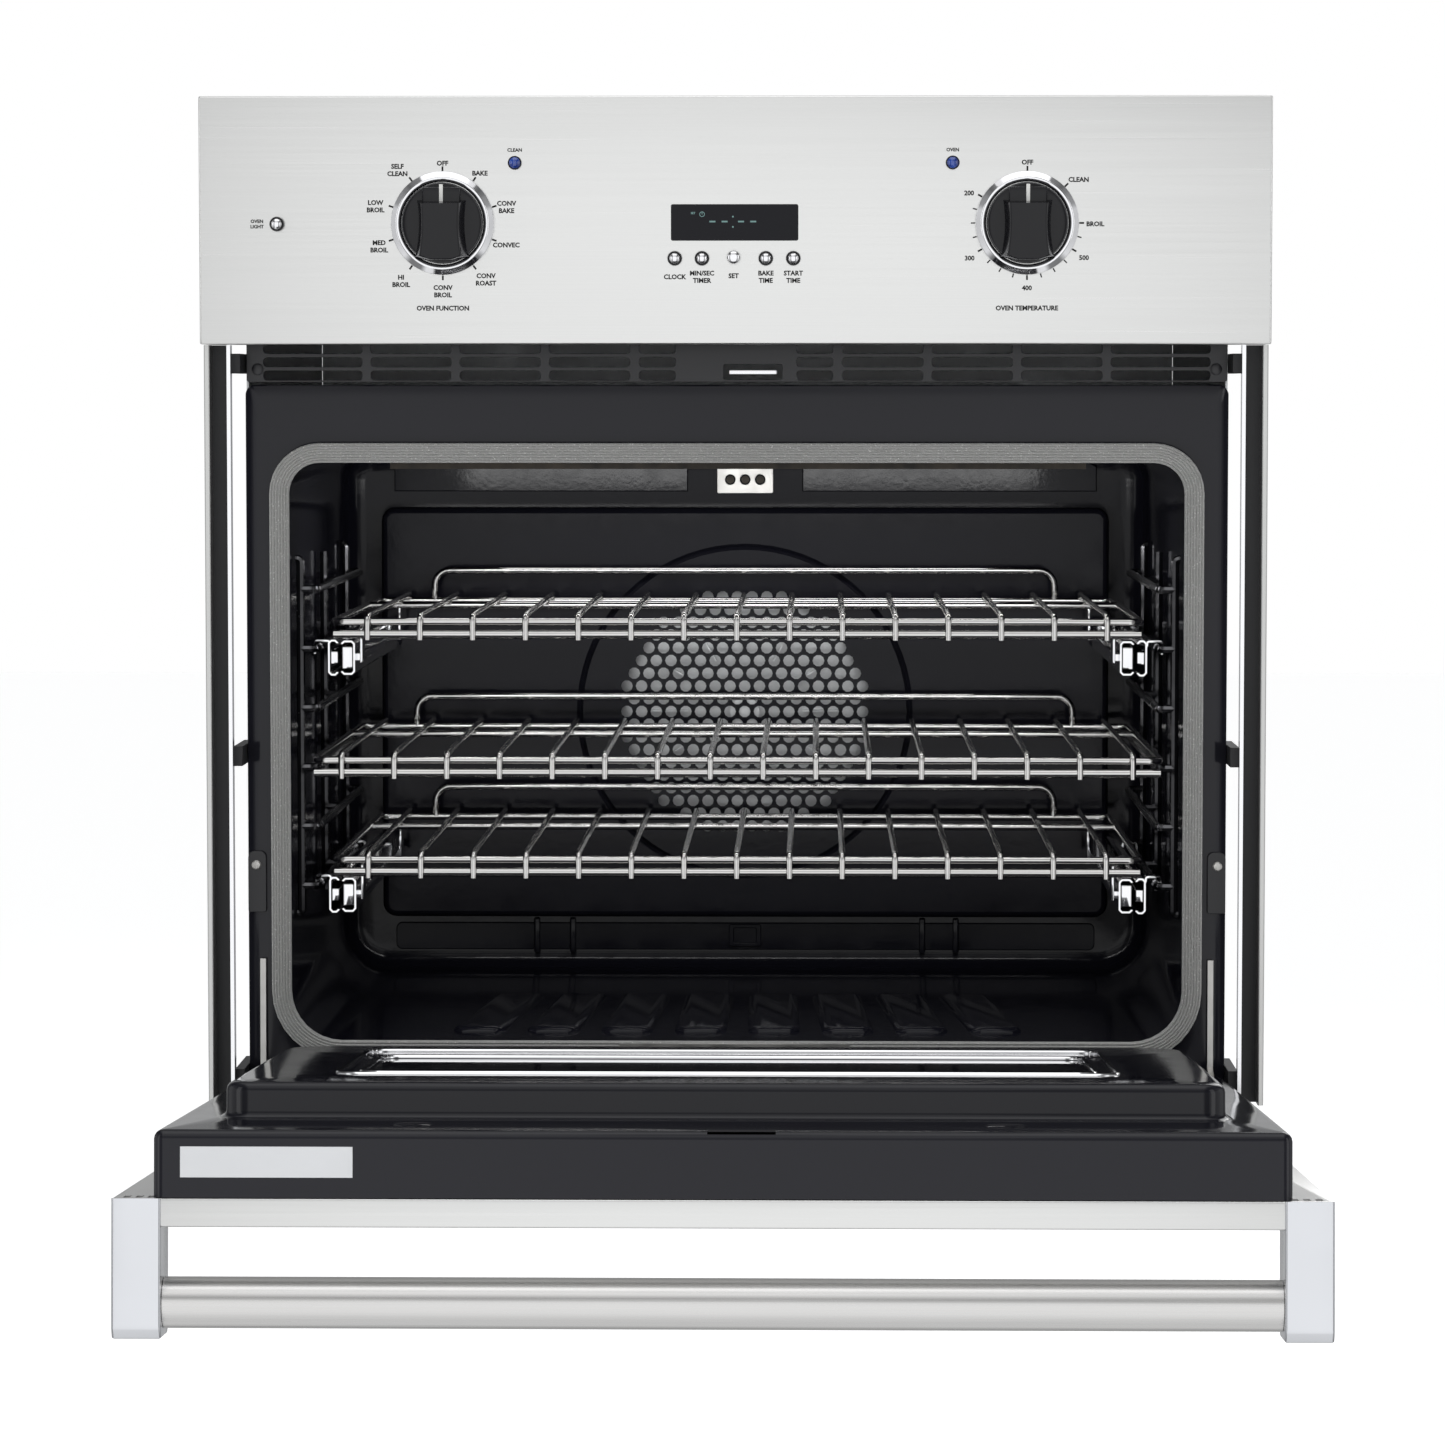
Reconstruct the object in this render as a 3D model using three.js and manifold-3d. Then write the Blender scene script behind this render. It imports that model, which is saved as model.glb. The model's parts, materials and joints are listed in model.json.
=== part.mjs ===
// A built-in wall oven, 30-inch class, standing open: the door rests on its stop and three racks
// are in the cavity. Millimetres, +Z up, +X to the right of someone facing the oven, -Y towards them.
// The origin is the centre of the underside of the base pan.

import * as THREE from 'three';
import { mergeVertices } from 'three/addons/utils/BufferGeometryUtils.js';
import Module from 'manifold-3d';

const wasm = await Module();
wasm.setup();

// ---------------------------------------------------------------- driving dimensions

const GAP = 0.3; // clearance between neighbouring pieces
const SHEET = 1.5; // case and fascia sheet
const PORCELAIN = 1.2; // enamelled sheet of the door liner and the rear baffle

const FRONT = { halfWidth: 374.65, top: 756, y: -339 }; // the stainless face, 29 1/2 in wide
const FASCIA = { bottom: 583.2, depth: 42 };
const CASE = { half: 350, front: -268, back: 270, top: 745 };
const FRAME = { half: 350.7, y: -270, bottom: 2, top: 554.9, corner: 6 };
const GRILLE = { half: 349, y: -277, bottom: 557, top: 592 };
const CAVITY = { half: 321.5, bottom: 84, top: 503, back: 183 };
const MOUTH = { half: 319.5, bottom: 84.4, top: 499.5, topCorner: 22, bottomCorner: 36 };
const GASKET = { width: 14, height: 8.6 };
const BAFFLE = { half: 291, bottom: 128.6, top: 457.8, y: 157 };
const FAN = { z: 294.3, radius: 78, openRadius: 97 };
const KNOB = { x: 204, z: 667.5, radius: 28, shaft: 3, gripEnd: 15, gripWaist: 11.2 };
const BEZEL = { outer: 36, inner: 29, depth: 6 };
const DISPLAY = { halfWidth: 44.65, halfHeight: 12.8, z: 668 };
const BUTTON = { radius: 4.9, stem: 2.5, z: 643, travel: 1.5 };
const INDICATOR = { radius: 4.8, z: 709.5 };
const LATCH = { from: -5, to: 29, z: 564, thickness: 3 };

// the door in its closed position, measured from the hinge axis
const HINGE = { y: -291, z: 50.5, open: 86 };
const DOOR = { face: -48, skin: 17.7, bottom: -18, top: 520 };
const TIER = { half: 349.5, bottom: -14, top: 519.5, inner: 11.7 };
const PLUG = { half: 317, bottom: 41.5, top: 425, inner: 34.7, corner: 18, lowerCorner: 34 };
const WINDOW = { half: 238, bottom: 163, top: 325 };
const HANDLE = { radius: 15.875, y: -96, z: 502, endInset: 30.3, reach: -117 };
const ARM = { x: 340, thickness: 4 };

// racks and what carries them
const LEVEL = { lowest: 191.6, pitch: 43.1, count: 6 };
const RACK = { front: -240, back: 130, rail: 6, wire: 4, pitch: 38.1, backstop: 22, drop: 9 };
const LADDER = { x: 305, post: 314, front: -226, back: 124, wire: 6 };
const GLIDE = { inner: 285, outer: 296, height: 26, aboveLevel: 8, rackAbove: 12.4 };

// ---------------------------------------------------------------- finishes

const finish = (color, metalness, roughness) => ({ color, metalness, roughness });
const STAINLESS = finish(0xc9cac8, 1, 0.35);
const POLISHED = finish(0xdcdde0, 1, 0.12);
const CHROME_WIRE = finish(0xd2d3d6, 1, 0.18);
const ENAMEL = finish(0x14141a, 0, 0.12);
const BLACK_PAINT = finish(0x16161a, 0, 0.45);
const GALVANISED = finish(0x9ea3a6, 0.9, 0.5);
const BRAID = finish(0x6a6b68, 0, 0.9);
const GLASS = finish(0x0b0c10, 0, 0.05);
const BLACK_KNOB = finish(0x08080a, 0, 0.2);
const BLUE_LENS = finish(0x143a9c, 0, 0.1);
const HEATER = finish(0x33312f, 0.6, 0.6);
const CASTING = finish(0xb4b6b8, 1, 0.4);

// ---------------------------------------------------------------- solids

// A closed three.js geometry as a solid that can be joined and cut.
function solid(geometry) {
  const bare = geometry.index ? geometry.toNonIndexed() : geometry.clone();
  bare.deleteAttribute('normal');
  bare.deleteAttribute('uv');
  const merged = mergeVertices(bare, 1e-4);
  return new wasm.Manifold(new wasm.Mesh({
    numProp: 3,
    vertProperties: new Float32Array(merged.attributes.position.array),
    triVerts: new Uint32Array(merged.index.array),
  }));
}

function geometryOf(shape) {
  const mesh = shape.getMesh();
  const geometry = new THREE.BufferGeometry();
  geometry.setAttribute('position', new THREE.BufferAttribute(mesh.vertProperties, 3));
  geometry.setIndex(new THREE.BufferAttribute(mesh.triVerts, 1));
  geometry.computeVertexNormals();
  return geometry;
}

const join = (first, ...others) => others.reduce((whole, next) => whole.add(next), first);
const cut = (first, ...others) => others.reduce((whole, next) => whole.subtract(next), first);

function block([x0, x1], [y0, y1], [z0, z1]) {
  const box = new THREE.BoxGeometry(x1 - x0, y1 - y0, z1 - z0);
  return solid(box.translate((x0 + x1) / 2, (y0 + y1) / 2, (z0 + z1) / 2));
}

// Turns a geometry drawn with its length along +Z so that the length runs along the named axis.
const turnTo = {
  x: new THREE.Matrix4().set(0, 0, 1, 0, 1, 0, 0, 0, 0, 1, 0, 0, 0, 0, 0, 1),
  y: new THREE.Matrix4().set(1, 0, 0, 0, 0, 0, -1, 0, 0, 1, 0, 0, 0, 0, 0, 1),
  z: new THREE.Matrix4(),
};

// An outline pushed from one place to another along an axis. The outline's two coordinates are
// (y, z) for the x axis, (x, z) for the y axis and (x, y) for the z axis.
function prism(shape, axis, from, to) {
  const geometry = new THREE.ExtrudeGeometry(shape, {
    depth: to - from, bevelEnabled: false, curveSegments: 3,
  });
  geometry.applyMatrix4(turnTo[axis]);
  const shift = axis === 'y' ? to : from;
  const along = { x: [shift, 0, 0], y: [0, shift, 0], z: [0, 0, shift] }[axis];
  return solid(geometry.translate(...along));
}

function polygon(points) {
  return new THREE.Shape(points.map(([u, v]) => new THREE.Vector2(u, v)));
}

function roundedBox([u0, u1], [v0, v1], lowCorner, highCorner = lowCorner) {
  const shape = new THREE.Shape();
  shape.moveTo(u0 + lowCorner, v0);
  shape.lineTo(u1 - lowCorner, v0);
  shape.absarc(u1 - lowCorner, v0 + lowCorner, lowCorner, -Math.PI / 2, 0, false);
  shape.absarc(u1 - highCorner, v1 - highCorner, highCorner, 0, Math.PI / 2, false);
  shape.absarc(u0 + highCorner, v1 - highCorner, highCorner, Math.PI / 2, Math.PI, false);
  shape.absarc(u0 + lowCorner, v0 + lowCorner, lowCorner, Math.PI, Math.PI * 1.5, false);
  return shape;
}

// A round bar along an axis; its centre has two coordinates, as an outline's points do.
function rod(axis, [u, v], radius, from, to, sides = 16) {
  const geometry = new THREE.CylinderGeometry(radius, radius, to - from, sides);
  geometry.rotateX(Math.PI / 2).translate(0, 0, (to - from) / 2).applyMatrix4(turnTo[axis]);
  const place = { x: [from, u, v], y: [u, to, v], z: [u, v, from] }[axis];
  return solid(geometry.translate(...place));
}

// A turned solid on an axis along Y: the profile's points are (radius, distance in front of y).
function turned([x, z], y, profile, sides = 24) {
  const points = profile.map(([r, out]) => new THREE.Vector2(r, out));
  const geometry = new THREE.LatheGeometry(points, sides);
  return solid(geometry.rotateX(Math.PI).translate(x, y, z));
}

// A square bar from one point to another along one axis, run past both by half its thickness.
function bar(from, to, thickness) {
  const half = thickness / 2;
  const span = [0, 1, 2].map((i) => [
    Math.min(from[i], to[i]) - half,
    Math.max(from[i], to[i]) + half,
  ]);
  return block(...span);
}

function bentBar(points, thickness) {
  const bars = points.slice(1).map((point, i) => bar(points[i], point, thickness));
  return join(...bars);
}

const mirrored = (shape) => shape.mirror([1, 0, 0]);

// ---------------------------------------------------------------- the assembly

const oven = new THREE.Group();
const door = new THREE.Group();
door.position.set(0, HINGE.y, HINGE.z);
door.rotation.x = THREE.MathUtils.degToRad(HINGE.open);
oven.add(door);

function add(name, shape, look, parent = oven) {
  const mesh = new THREE.Mesh(geometryOf(shape), new THREE.MeshStandardMaterial(look));
  mesh.name = name;
  parent.add(mesh);
}

// Adds a right-hand piece and its mirror image.
function addPair(name, rightShape, look, parent = oven) {
  add(name('right'), rightShape, look, parent);
  add(name('left'), mirrored(rightShape), look, parent);
}

// ---------------------------------------------------------------- case

// The base is a shallow pan; two side panels, a back and a top close the case round it.
function makeCase() {
  const inside = CASE.half - SHEET - GAP;
  const rim = 25;
  const sheetBack = CASE.back - SHEET;
  const pan = cut(
    block([-inside, inside], [CASE.front + GAP, sheetBack - GAP], [0, rim]),
    block(
      [-inside + SHEET, inside - SHEET],
      [CASE.front + GAP + SHEET, sheetBack - GAP - SHEET],
      [SHEET, rim + 1],
    ),
  );
  add('case_base', pan, GALVANISED);

  // above the door the side panels reach forward to carry the fascia
  const earBottom = FASCIA.bottom + 10;
  const earFront = FRONT.y + FASCIA.depth - 10;
  const side = prism(polygon([
    [CASE.front + GAP, 0],
    [CASE.back, 0],
    [CASE.back, CASE.top - SHEET - GAP],
    [earFront, CASE.top - SHEET - GAP],
    [earFront, earBottom],
    [CASE.front + GAP, earBottom],
  ]), 'x', CASE.half - SHEET, CASE.half);
  addPair((hand) => `case_${hand}_panel`, side, GALVANISED);

  const inletRadius = 14;
  const back = cut(
    block([-inside, inside], [sheetBack, CASE.back], [rim + GAP, CASE.top - SHEET - GAP]),
    rod('y', [250, 690], inletRadius, sheetBack - 1, CASE.back + 1, 12),
  );
  add('case_back_panel', back, GALVANISED);
  add('case_top_panel', block(
    [-CASE.half, CASE.half], [earFront, CASE.back], [CASE.top - SHEET, CASE.top],
  ), GALVANISED);
}

// Each trim rail stands beside the case on three clips: a bright front flange, a seat that lies on
// the cabinet's face, and a lip on the inner edge.
function makeTrimRails() {
  const front = FRONT.y + 22;
  const seat = FRONT.y + FASCIA.depth;
  const outer = FRONT.halfWidth;
  const inner = CASE.half + 1.5;
  const step = outer - 6.65;
  const profile = polygon([
    [inner, seat - 11], [inner + SHEET, seat - 11], [inner + SHEET, seat - SHEET],
    [step, seat - SHEET], [step, front], [outer, front], [outer, seat],
    [outer - SHEET, seat], [outer - SHEET, front + SHEET], [step + SHEET, front + SHEET],
    [step + SHEET, seat], [inner, seat],
  ]);
  const bottom = 45; // clear of the door skin, which swings under it
  const clips = [60, 291, 570].map((z) => join(
    block([FRAME.half + GAP, inner + SHEET], [seat - SHEET, CASE.front + 40], [z - 7, z + 7]),
    block([CASE.half + GAP, inner + SHEET], [CASE.front + 2, CASE.front + 40], [z - 7, z + 7]),
  ));
  const rail = join(prism(profile, 'z', bottom, FASCIA.bottom - GAP), ...clips);
  addPair((hand) => `${hand}_trim_rail`, rail, STAINLESS);
}

function makeFrontFrame() {
  const opening = roundedBox(
    [-MOUTH.half, MOUTH.half], [MOUTH.bottom, MOUTH.top], MOUTH.bottomCorner, MOUTH.topCorner,
  );
  const plate = prism(
    roundedBox([-FRAME.half, FRAME.half], [FRAME.bottom, FRAME.top], 1, FRAME.corner),
    'y', FRAME.y, FRAME.y + 2 - GAP,
  );
  add('front_frame', cut(plate, prism(opening, 'y', FRAME.y - 1, FRAME.y + 3)), ENAMEL);

  // the door seal runs round the mouth, just clear of the closed door
  const w = GASKET.width;
  const outline = roundedBox(
    [-MOUTH.half - w, MOUTH.half + w], [MOUTH.bottom - w, MOUTH.top + w],
    MOUTH.bottomCorner + w, MOUTH.topCorner + w,
  );
  const seal = cut(
    prism(outline, 'y', FRAME.y - GAP - GASKET.height, FRAME.y - GAP),
    prism(opening, 'y', FRAME.y - GASKET.height - 2, FRAME.y + 1),
  );
  add('door_gasket', seal, BRAID);
}

// The vent grille has three rows of slots on each side of the latch.
function makeVentGrille() {
  const rowHeight = 6.8;
  const rows = [561.6, 571.1, 580.6];
  const first = 75.5;
  const slotLength = 57.6;
  const slotPitch = 63.6;
  const columns = [[43, 69]];
  for (let i = 0; i < 4; i++) {
    const start = first + slotPitch * i;
    columns.push([start, start + slotLength + (i === 3 ? 13 : 0)]);
  }
  let plate = block([-GRILLE.half, GRILLE.half], [GRILLE.y, GRILLE.y + SHEET],
    [GRILLE.bottom, GRILLE.top]);
  for (const row of rows) {
    for (const [from, to] of columns) {
      const span = [row - rowHeight / 2, row + rowHeight / 2];
      const through = [GRILLE.y - 1, GRILLE.y + SHEET + 1];
      plate = cut(plate, block([from, to], through, span), block([-to, -from], through, span));
    }
  }
  const latchSlot = block([LATCH.from - 4, LATCH.to + 4], [GRILLE.y - 1, GRILLE.y + 3],
    [LATCH.z - 6, LATCH.z + 6]);
  add('vent_grille', cut(plate, latchSlot), BLACK_PAINT);

  // the latch lies behind its slot and slides out into the closed door
  const { z, thickness } = LATCH;
  const bolt = polygon([
    [LATCH.from, GRILLE.y + 6], [LATCH.from + 8, GRILLE.y + 2], [LATCH.to - 8, GRILLE.y + 2],
    [LATCH.to, GRILLE.y + 6], [LATCH.to, GRILLE.y + 80], [LATCH.from, GRILLE.y + 80],
  ]);
  add('door_latch', prism(bolt, 'z', z - thickness / 2, z + thickness / 2), POLISHED);
}

// ---------------------------------------------------------------- cavity

function makeCavity() {
  const { half, bottom, top, back } = CAVITY;
  const front = CASE.front + GAP;
  const wall = block([half, half + SHEET], [front, back - GAP], [bottom, top]);
  addPair((hand) => `cavity_${hand}_wall`, wall, ENAMEL);
  const wide = half + SHEET;
  add('cavity_roof', block([-wide, wide], [front, back - GAP], [top + GAP, top + GAP + SHEET]),
    ENAMEL);
  add('cavity_floor', block(
    [-wide, wide], [front, back - GAP], [bottom - GAP - SHEET, bottom - GAP],
  ), ENAMEL);
  const shaftHole = rod('y', [0, FAN.z], 8, back - 1, back + SHEET + 1, 12);
  add('cavity_back_wall', cut(block(
    [-wide, wide], [back, back + SHEET], [bottom - GAP - SHEET, top + GAP + SHEET],
  ), shaftHole), ENAMEL);
}

// The rear baffle is a dished plate with a round perforated field in front of the fan.
function makeBaffle() {
  const { half, bottom, top, y } = BAFFLE;
  const rear = CAVITY.back - GAP;
  const dish = cut(
    block([-half, half], [y, rear], [bottom, top]),
    block(
      [-half + PORCELAIN, half - PORCELAIN], [y + PORCELAIN, rear + 1],
      [bottom + PORCELAIN, top - PORCELAIN],
    ),
  );
  const holeRadius = 15;
  const pitch = 36;
  const rowHeight = pitch * Math.sqrt(3) / 2;
  const holes = [];
  for (let row = -3; row <= 3; row++) {
    for (let column = -3; column <= 3; column++) {
      const x = pitch * (column + Math.abs(row % 2) / 2);
      const z = rowHeight * row;
      if (Math.hypot(x, z) + holeRadius > FAN.openRadius) continue;
      holes.push(rod('y', [x, FAN.z + z], holeRadius, y - 1, y + PORCELAIN + 1, 6));
    }
  }
  add('fan_cover', cut(dish, ...holes), ENAMEL);
}

function makeFan() {
  const { z, radius } = FAN;
  const discBack = CAVITY.back - 3;
  const disc = rod('y', [0, z], radius, discBack - 1.2, discBack, 24);
  const hub = rod('y', [0, z], 12, BAFFLE.y + 4, discBack, 12);
  const shaft = rod('y', [0, z], 4, BAFFLE.y + 6, CAVITY.back + 30, 12);
  const blades = [];
  const bladeCount = 12;
  for (let i = 0; i < bladeCount; i++) {
    const blade = new THREE.BoxGeometry(30, 14, 1.2);
    blade.translate(radius - 17, discBack - 1.2 - 7 + 0.4, 0);
    blade.rotateY((i / bladeCount) * Math.PI * 2).translate(0, 0, z);
    blades.push(solid(blade));
  }
  add('convection_fan', join(disc, hub, shaft, ...blades), GALVANISED);

  const motorFront = CAVITY.back + SHEET + GAP;
  const flange = block([-50, 50], [motorFront, motorFront + 2], [z - 30, z + 30]);
  const body = rod('y', [0, z], 38, motorFront + 1, motorFront + 52, 20);
  const bore = rod('y', [0, z], 4.3, motorFront - 1, CAVITY.back + 34, 12);
  add('fan_motor', cut(join(flange, body), bore), GALVANISED);
}

// Two sheathed heaters: a ring round the fan, and passes under the roof for broiling.
function makeHeaters() {
  const ringY = (BAFFLE.y + CAVITY.back) / 2;
  const section = [];
  const tube = 3.2;
  const ringRadius = 118;
  for (let i = 0; i <= 6; i++) {
    const angle = (i % 6) * Math.PI / 3;
    section.push([ringRadius + tube * Math.cos(angle), tube * Math.sin(angle)]);
  }
  add('convection_element', turned([0, FAN.z], ringY, section, 32), HEATER);

  const passes = 8;
  const reach = 250;
  const spacing = 44;
  const frontY = -200;
  const elementZ = CAVITY.top - 6;
  const legs = [];
  for (let i = 0; i < passes; i++) {
    const y = frontY + spacing * i;
    legs.push(bar([-reach, y, elementZ], [reach, y, elementZ], 6));
    const side = i % 2 ? -reach : reach;
    if (i < passes - 1) legs.push(bar([side, y, elementZ], [side, y + spacing, elementZ], 6));
  }
  const lastY = frontY + spacing * (passes - 1);
  legs.push(bar([-reach, lastY, elementZ], [-reach, CAVITY.back - 8, elementZ], 6));
  add('broil_element', join(...legs), HEATER);

  // the plate that the sheaths and the sensor pass through, high on the back wall
  const plateY = CAVITY.back - GAP;
  const holes = [-12, 0, 12].map((x) => rod('y', [x, 479.4], 3.8, plateY - 4, plateY + 1, 10));
  add('terminal_plate', cut(
    block([-22.5, 22.5], [plateY - 2, plateY], [468.5, 490.5]), ...holes,
  ), POLISHED);
}

// Wire ladders on the side walls give six rack levels.
const levelZ = (index) => LEVEL.lowest + LEVEL.pitch * index;

function makeLadders() {
  const { x, post, front, back, wire } = LADDER;
  const middle = (front + back) / 2;
  const low = LEVEL.lowest - 20;
  const high = levelZ(LEVEL.count - 1) + 22;
  let ladder = join(...[front, middle, back].map(
    (y) => bar([post, y, low], [post, y, high], wire),
  ));
  for (let i = 0; i < LEVEL.count; i++) {
    const z = levelZ(i);
    ladder = join(
      ladder,
      bentBar([[post, front, z], [x, front, z], [x, back, z], [post, back, z]], wire),
      bar([x, middle, z], [post, middle, z], wire),
    );
  }
  for (const z of [low, high]) {
    for (const y of [front, back]) {
      const foot = CAVITY.half - GAP - wire / 2;
      ladder = join(ladder, bar([post, y, z], [foot, y, z], wire));
    }
  }
  addPair((hand) => `${hand}_rack_ladder`, ladder, CHROME_WIRE);
}

// ---------------------------------------------------------------- racks

// A rack is a rail frame with wires from front to back that turn down over the front rail, and a
// raised loop along its rear edge.
function makeRack(name, halfWidth, z, wireCount) {
  const { front, back, rail, wire, pitch, backstop, drop } = RACK;
  const edge = halfWidth - rail / 2;
  const low = z - drop;
  let rack = join(
    bentBar([[-edge, front, z], [edge, front, z], [edge, back, z], [-edge, back, z],
      [-edge, front, z]], rail),
    bar([-edge + 24, front - 1, low], [edge - 24, front - 1, low], rail),
    bar([-edge, back - 90, z], [edge, back - 90, z], rail),
  );
  const lift = (rail + wire) / 2 - 0.6;
  for (let i = 0; i < wireCount; i++) {
    const x = pitch * (i - (wireCount - 1) / 2);
    rack = join(rack, bentBar([
      [x, back, z + lift], [x, front - lift, z + lift], [x, front - lift, low],
    ], wire));
  }
  const loop = halfWidth - 58;
  rack = join(rack, bentBar([
    [-loop, back, z], [-loop, back, z + backstop], [loop, back, z + backstop], [loop, back, z],
  ], rail));
  add(name, rack, CHROME_WIRE);
}

// A ball-bearing glide hangs on a ladder level on each side: a fixed channel with two hooks, and a
// slider inside it that carries the rack.
function makeGlides(rackName, level, rackZ) {
  const { inner, outer, height, aboveLevel } = GLIDE;
  const z = levelZ(level);
  const top = z + aboveLevel;
  const bottom = top - height;
  const ends = [RACK.front + 6, RACK.back + 6];
  const wall = 1.6;
  const wireTop = z + LADDER.wire / 2 + GAP;
  const hookFar = LADDER.x + LADDER.wire / 2 + GAP;
  const channel = cut(
    block([inner, outer], ends, [bottom, top]),
    block([inner - 1, outer - wall], [ends[0] - 1, ends[1] + 1], [bottom + wall, top - wall]),
  );
  const hooks = [LADDER.front + 30, LADDER.back - 40].map((y) => join(
    block([outer - 1, hookFar + 2], [y, y + 14], [wireTop, wireTop + 2]),
    block([hookFar, hookFar + 2], [y, y + 14], [z - 5, wireTop + 2]),
  ));
  addPair((hand) => `${rackName}_${hand}_glide`, join(channel, ...hooks), STAINLESS);

  const rackSeat = rackZ - RACK.rail / 2 - GAP;
  const slider = join(
    block([inner - 2, outer - wall - GAP], ends, [bottom + wall + 3, top - wall - 3]),
    block([inner - 8, inner - 0.4], ends, [top - wall - 6, rackSeat]),
  );
  addPair((hand) => `${rackName}_${hand}_slider`, slider, POLISHED);
}

function makeRacks() {
  const glideLevels = { top_rack: 4, bottom_rack: 0 };
  for (const [name, level] of Object.entries(glideLevels)) {
    const z = levelZ(level) + GLIDE.aboveLevel + GLIDE.rackAbove;
    makeRack(name, 294, z, 15);
    makeGlides(name, level, z);
  }
  const middleZ = levelZ(2) + LADDER.wire / 2 + GAP + RACK.rail / 2;
  makeRack('middle_rack', 308.5, middleZ, 16);
}

// ---------------------------------------------------------------- controls

const buttons = {
  light_button: { x: -320, z: 667, radius: BUTTON.radius },
  clock_button: { x: -41.8, z: BUTTON.z, radius: BUTTON.radius },
  timer_button: { x: -22.8, z: BUTTON.z, radius: BUTTON.radius },
  set_button: { x: -0.7, z: BUTTON.z + 0.7, radius: 5.8 },
  bake_time_button: { x: 21.8, z: BUTTON.z, radius: BUTTON.radius },
  start_time_button: { x: 41, z: BUTTON.z, radius: BUTTON.radius },
};
const indicators = { clean_indicator: -153.5, oven_indicator: 152 };
const knobs = { function: -KNOB.x, temperature: KNOB.x };

function makeFascia() {
  const { halfWidth, y, top } = FRONT;
  const rear = y + FASCIA.depth;
  const tray = cut(
    block([-halfWidth, halfWidth], [y, rear], [FASCIA.bottom, top]),
    block(
      [-halfWidth + SHEET, halfWidth - SHEET], [y + SHEET, rear + 1],
      [FASCIA.bottom + SHEET, top - SHEET],
    ),
  );
  const through = [y - 1, y + SHEET + 1];
  const openings = [block(
    [-DISPLAY.halfWidth - GAP, DISPLAY.halfWidth + GAP], through,
    [DISPLAY.z - DISPLAY.halfHeight - GAP, DISPLAY.z + DISPLAY.halfHeight + GAP],
  )];
  for (const x of Object.values(knobs)) {
    openings.push(rod('y', [x, KNOB.z], 7, ...through, 12));
  }
  for (const { x, z } of Object.values(buttons)) {
    openings.push(rod('y', [x, z], BUTTON.stem + 0.7, ...through, 8));
  }
  for (const x of Object.values(indicators)) {
    openings.push(rod('y', [x, INDICATOR.z], 3.6, ...through, 8));
  }
  // the case's top panel passes in over the tray's lower return, so the rear stays open
  add('control_fascia', cut(tray, ...openings), STAINLESS);
}

function makeControls() {
  const { y } = FRONT;
  const module = join(
    block([-58, 58], [y + 14, y + 39], [626, 692]),
    block(
      [-DISPLAY.halfWidth, DISPLAY.halfWidth], [y - 0.4, y + 15],
      [DISPLAY.z - DISPLAY.halfHeight, DISPLAY.z + DISPLAY.halfHeight],
    ),
  );
  add('clock_module', module, GLASS);

  for (const [name, { x, z, radius }] of Object.entries(buttons)) {
    const back = y - BUTTON.travel - 0.5;
    const head = turned([x, z], back, [
      [0, 0], [radius, 0], [radius, 2], [radius * 0.7, 3.4], [0, 4],
    ], 12);
    const stem = rod('y', [x, z], BUTTON.stem, back - 0.5, y + 10, 8);
    add(name, join(head, stem), POLISHED);
  }
  for (const [name, x] of Object.entries(indicators)) {
    const dome = turned([x, INDICATOR.z], y - GAP, [
      [0, 0], [INDICATOR.radius, 0], [INDICATOR.radius * 0.92, 1.8],
      [INDICATOR.radius * 0.6, 3.4], [0, 4.2],
    ], 12);
    const stem = rod('y', [x, INDICATOR.z], 3, y - 1, y + 12, 8);
    add(name, join(dome, stem), BLUE_LENS);
  }
}

// A knob's grip is waisted like an hourglass, with its ends inside the round of the disc.
function gripOutline(x, z) {
  const { radius, gripEnd, gripWaist } = KNOB;
  const corner = radius - 4.5;
  const right = [
    [gripEnd, -corner], [gripWaist + 1, -corner / 2], [gripWaist, 0],
    [gripWaist + 1, corner / 2], [gripEnd, corner],
  ];
  const left = right.map(([dx, dz]) => [-dx, -dz]);
  const ends = [[0, radius - 1], [0, 1 - radius]];
  return polygon([...right, ends[0], ...left, ends[1]].map(([dx, dz]) => [x + dx, z + dz]));
}

// Each knob turns a shaft in the control behind the fascia, inside a fixed bright bezel.
function makeKnobs() {
  const { y } = FRONT;
  const { z, radius, shaft } = KNOB;
  const controls = { function: 'function_switch', temperature: 'thermostat' };
  for (const [name, x] of Object.entries(knobs)) {
    const bezel = turned([x, z], y - GAP, [
      [BEZEL.inner, 0], [BEZEL.outer, 0], [BEZEL.outer - 1, 4], [BEZEL.outer - 4, BEZEL.depth],
      [BEZEL.inner + 1, BEZEL.depth], [BEZEL.inner, 4.5], [BEZEL.inner, 0],
    ]);
    add(`${name}_bezel`, bezel, POLISHED);

    const disc = turned([x, z], y - 2, [
      [0, 0], [radius, 0], [radius, 7], [radius - 2, 9], [0, 9],
    ]);
    const grip = prism(gripOutline(x, z), 'y', y - 27, y - 10);
    const stem = rod('y', [x, z], shaft, y - 4, y + 30, 10);
    add(`${name}_knob`, join(disc, grip, stem), BLACK_KNOB);

    const body = cut(
      block([x - 24, x + 24], [y + 14, y + 40], [z - 24, z + 24]),
      rod('y', [x, z], shaft + GAP, y + 13, y + 31, 10),
    );
    add(controls[name], body, BLACK_PAINT);
  }
}

// ---------------------------------------------------------------- door, drawn closed

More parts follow.
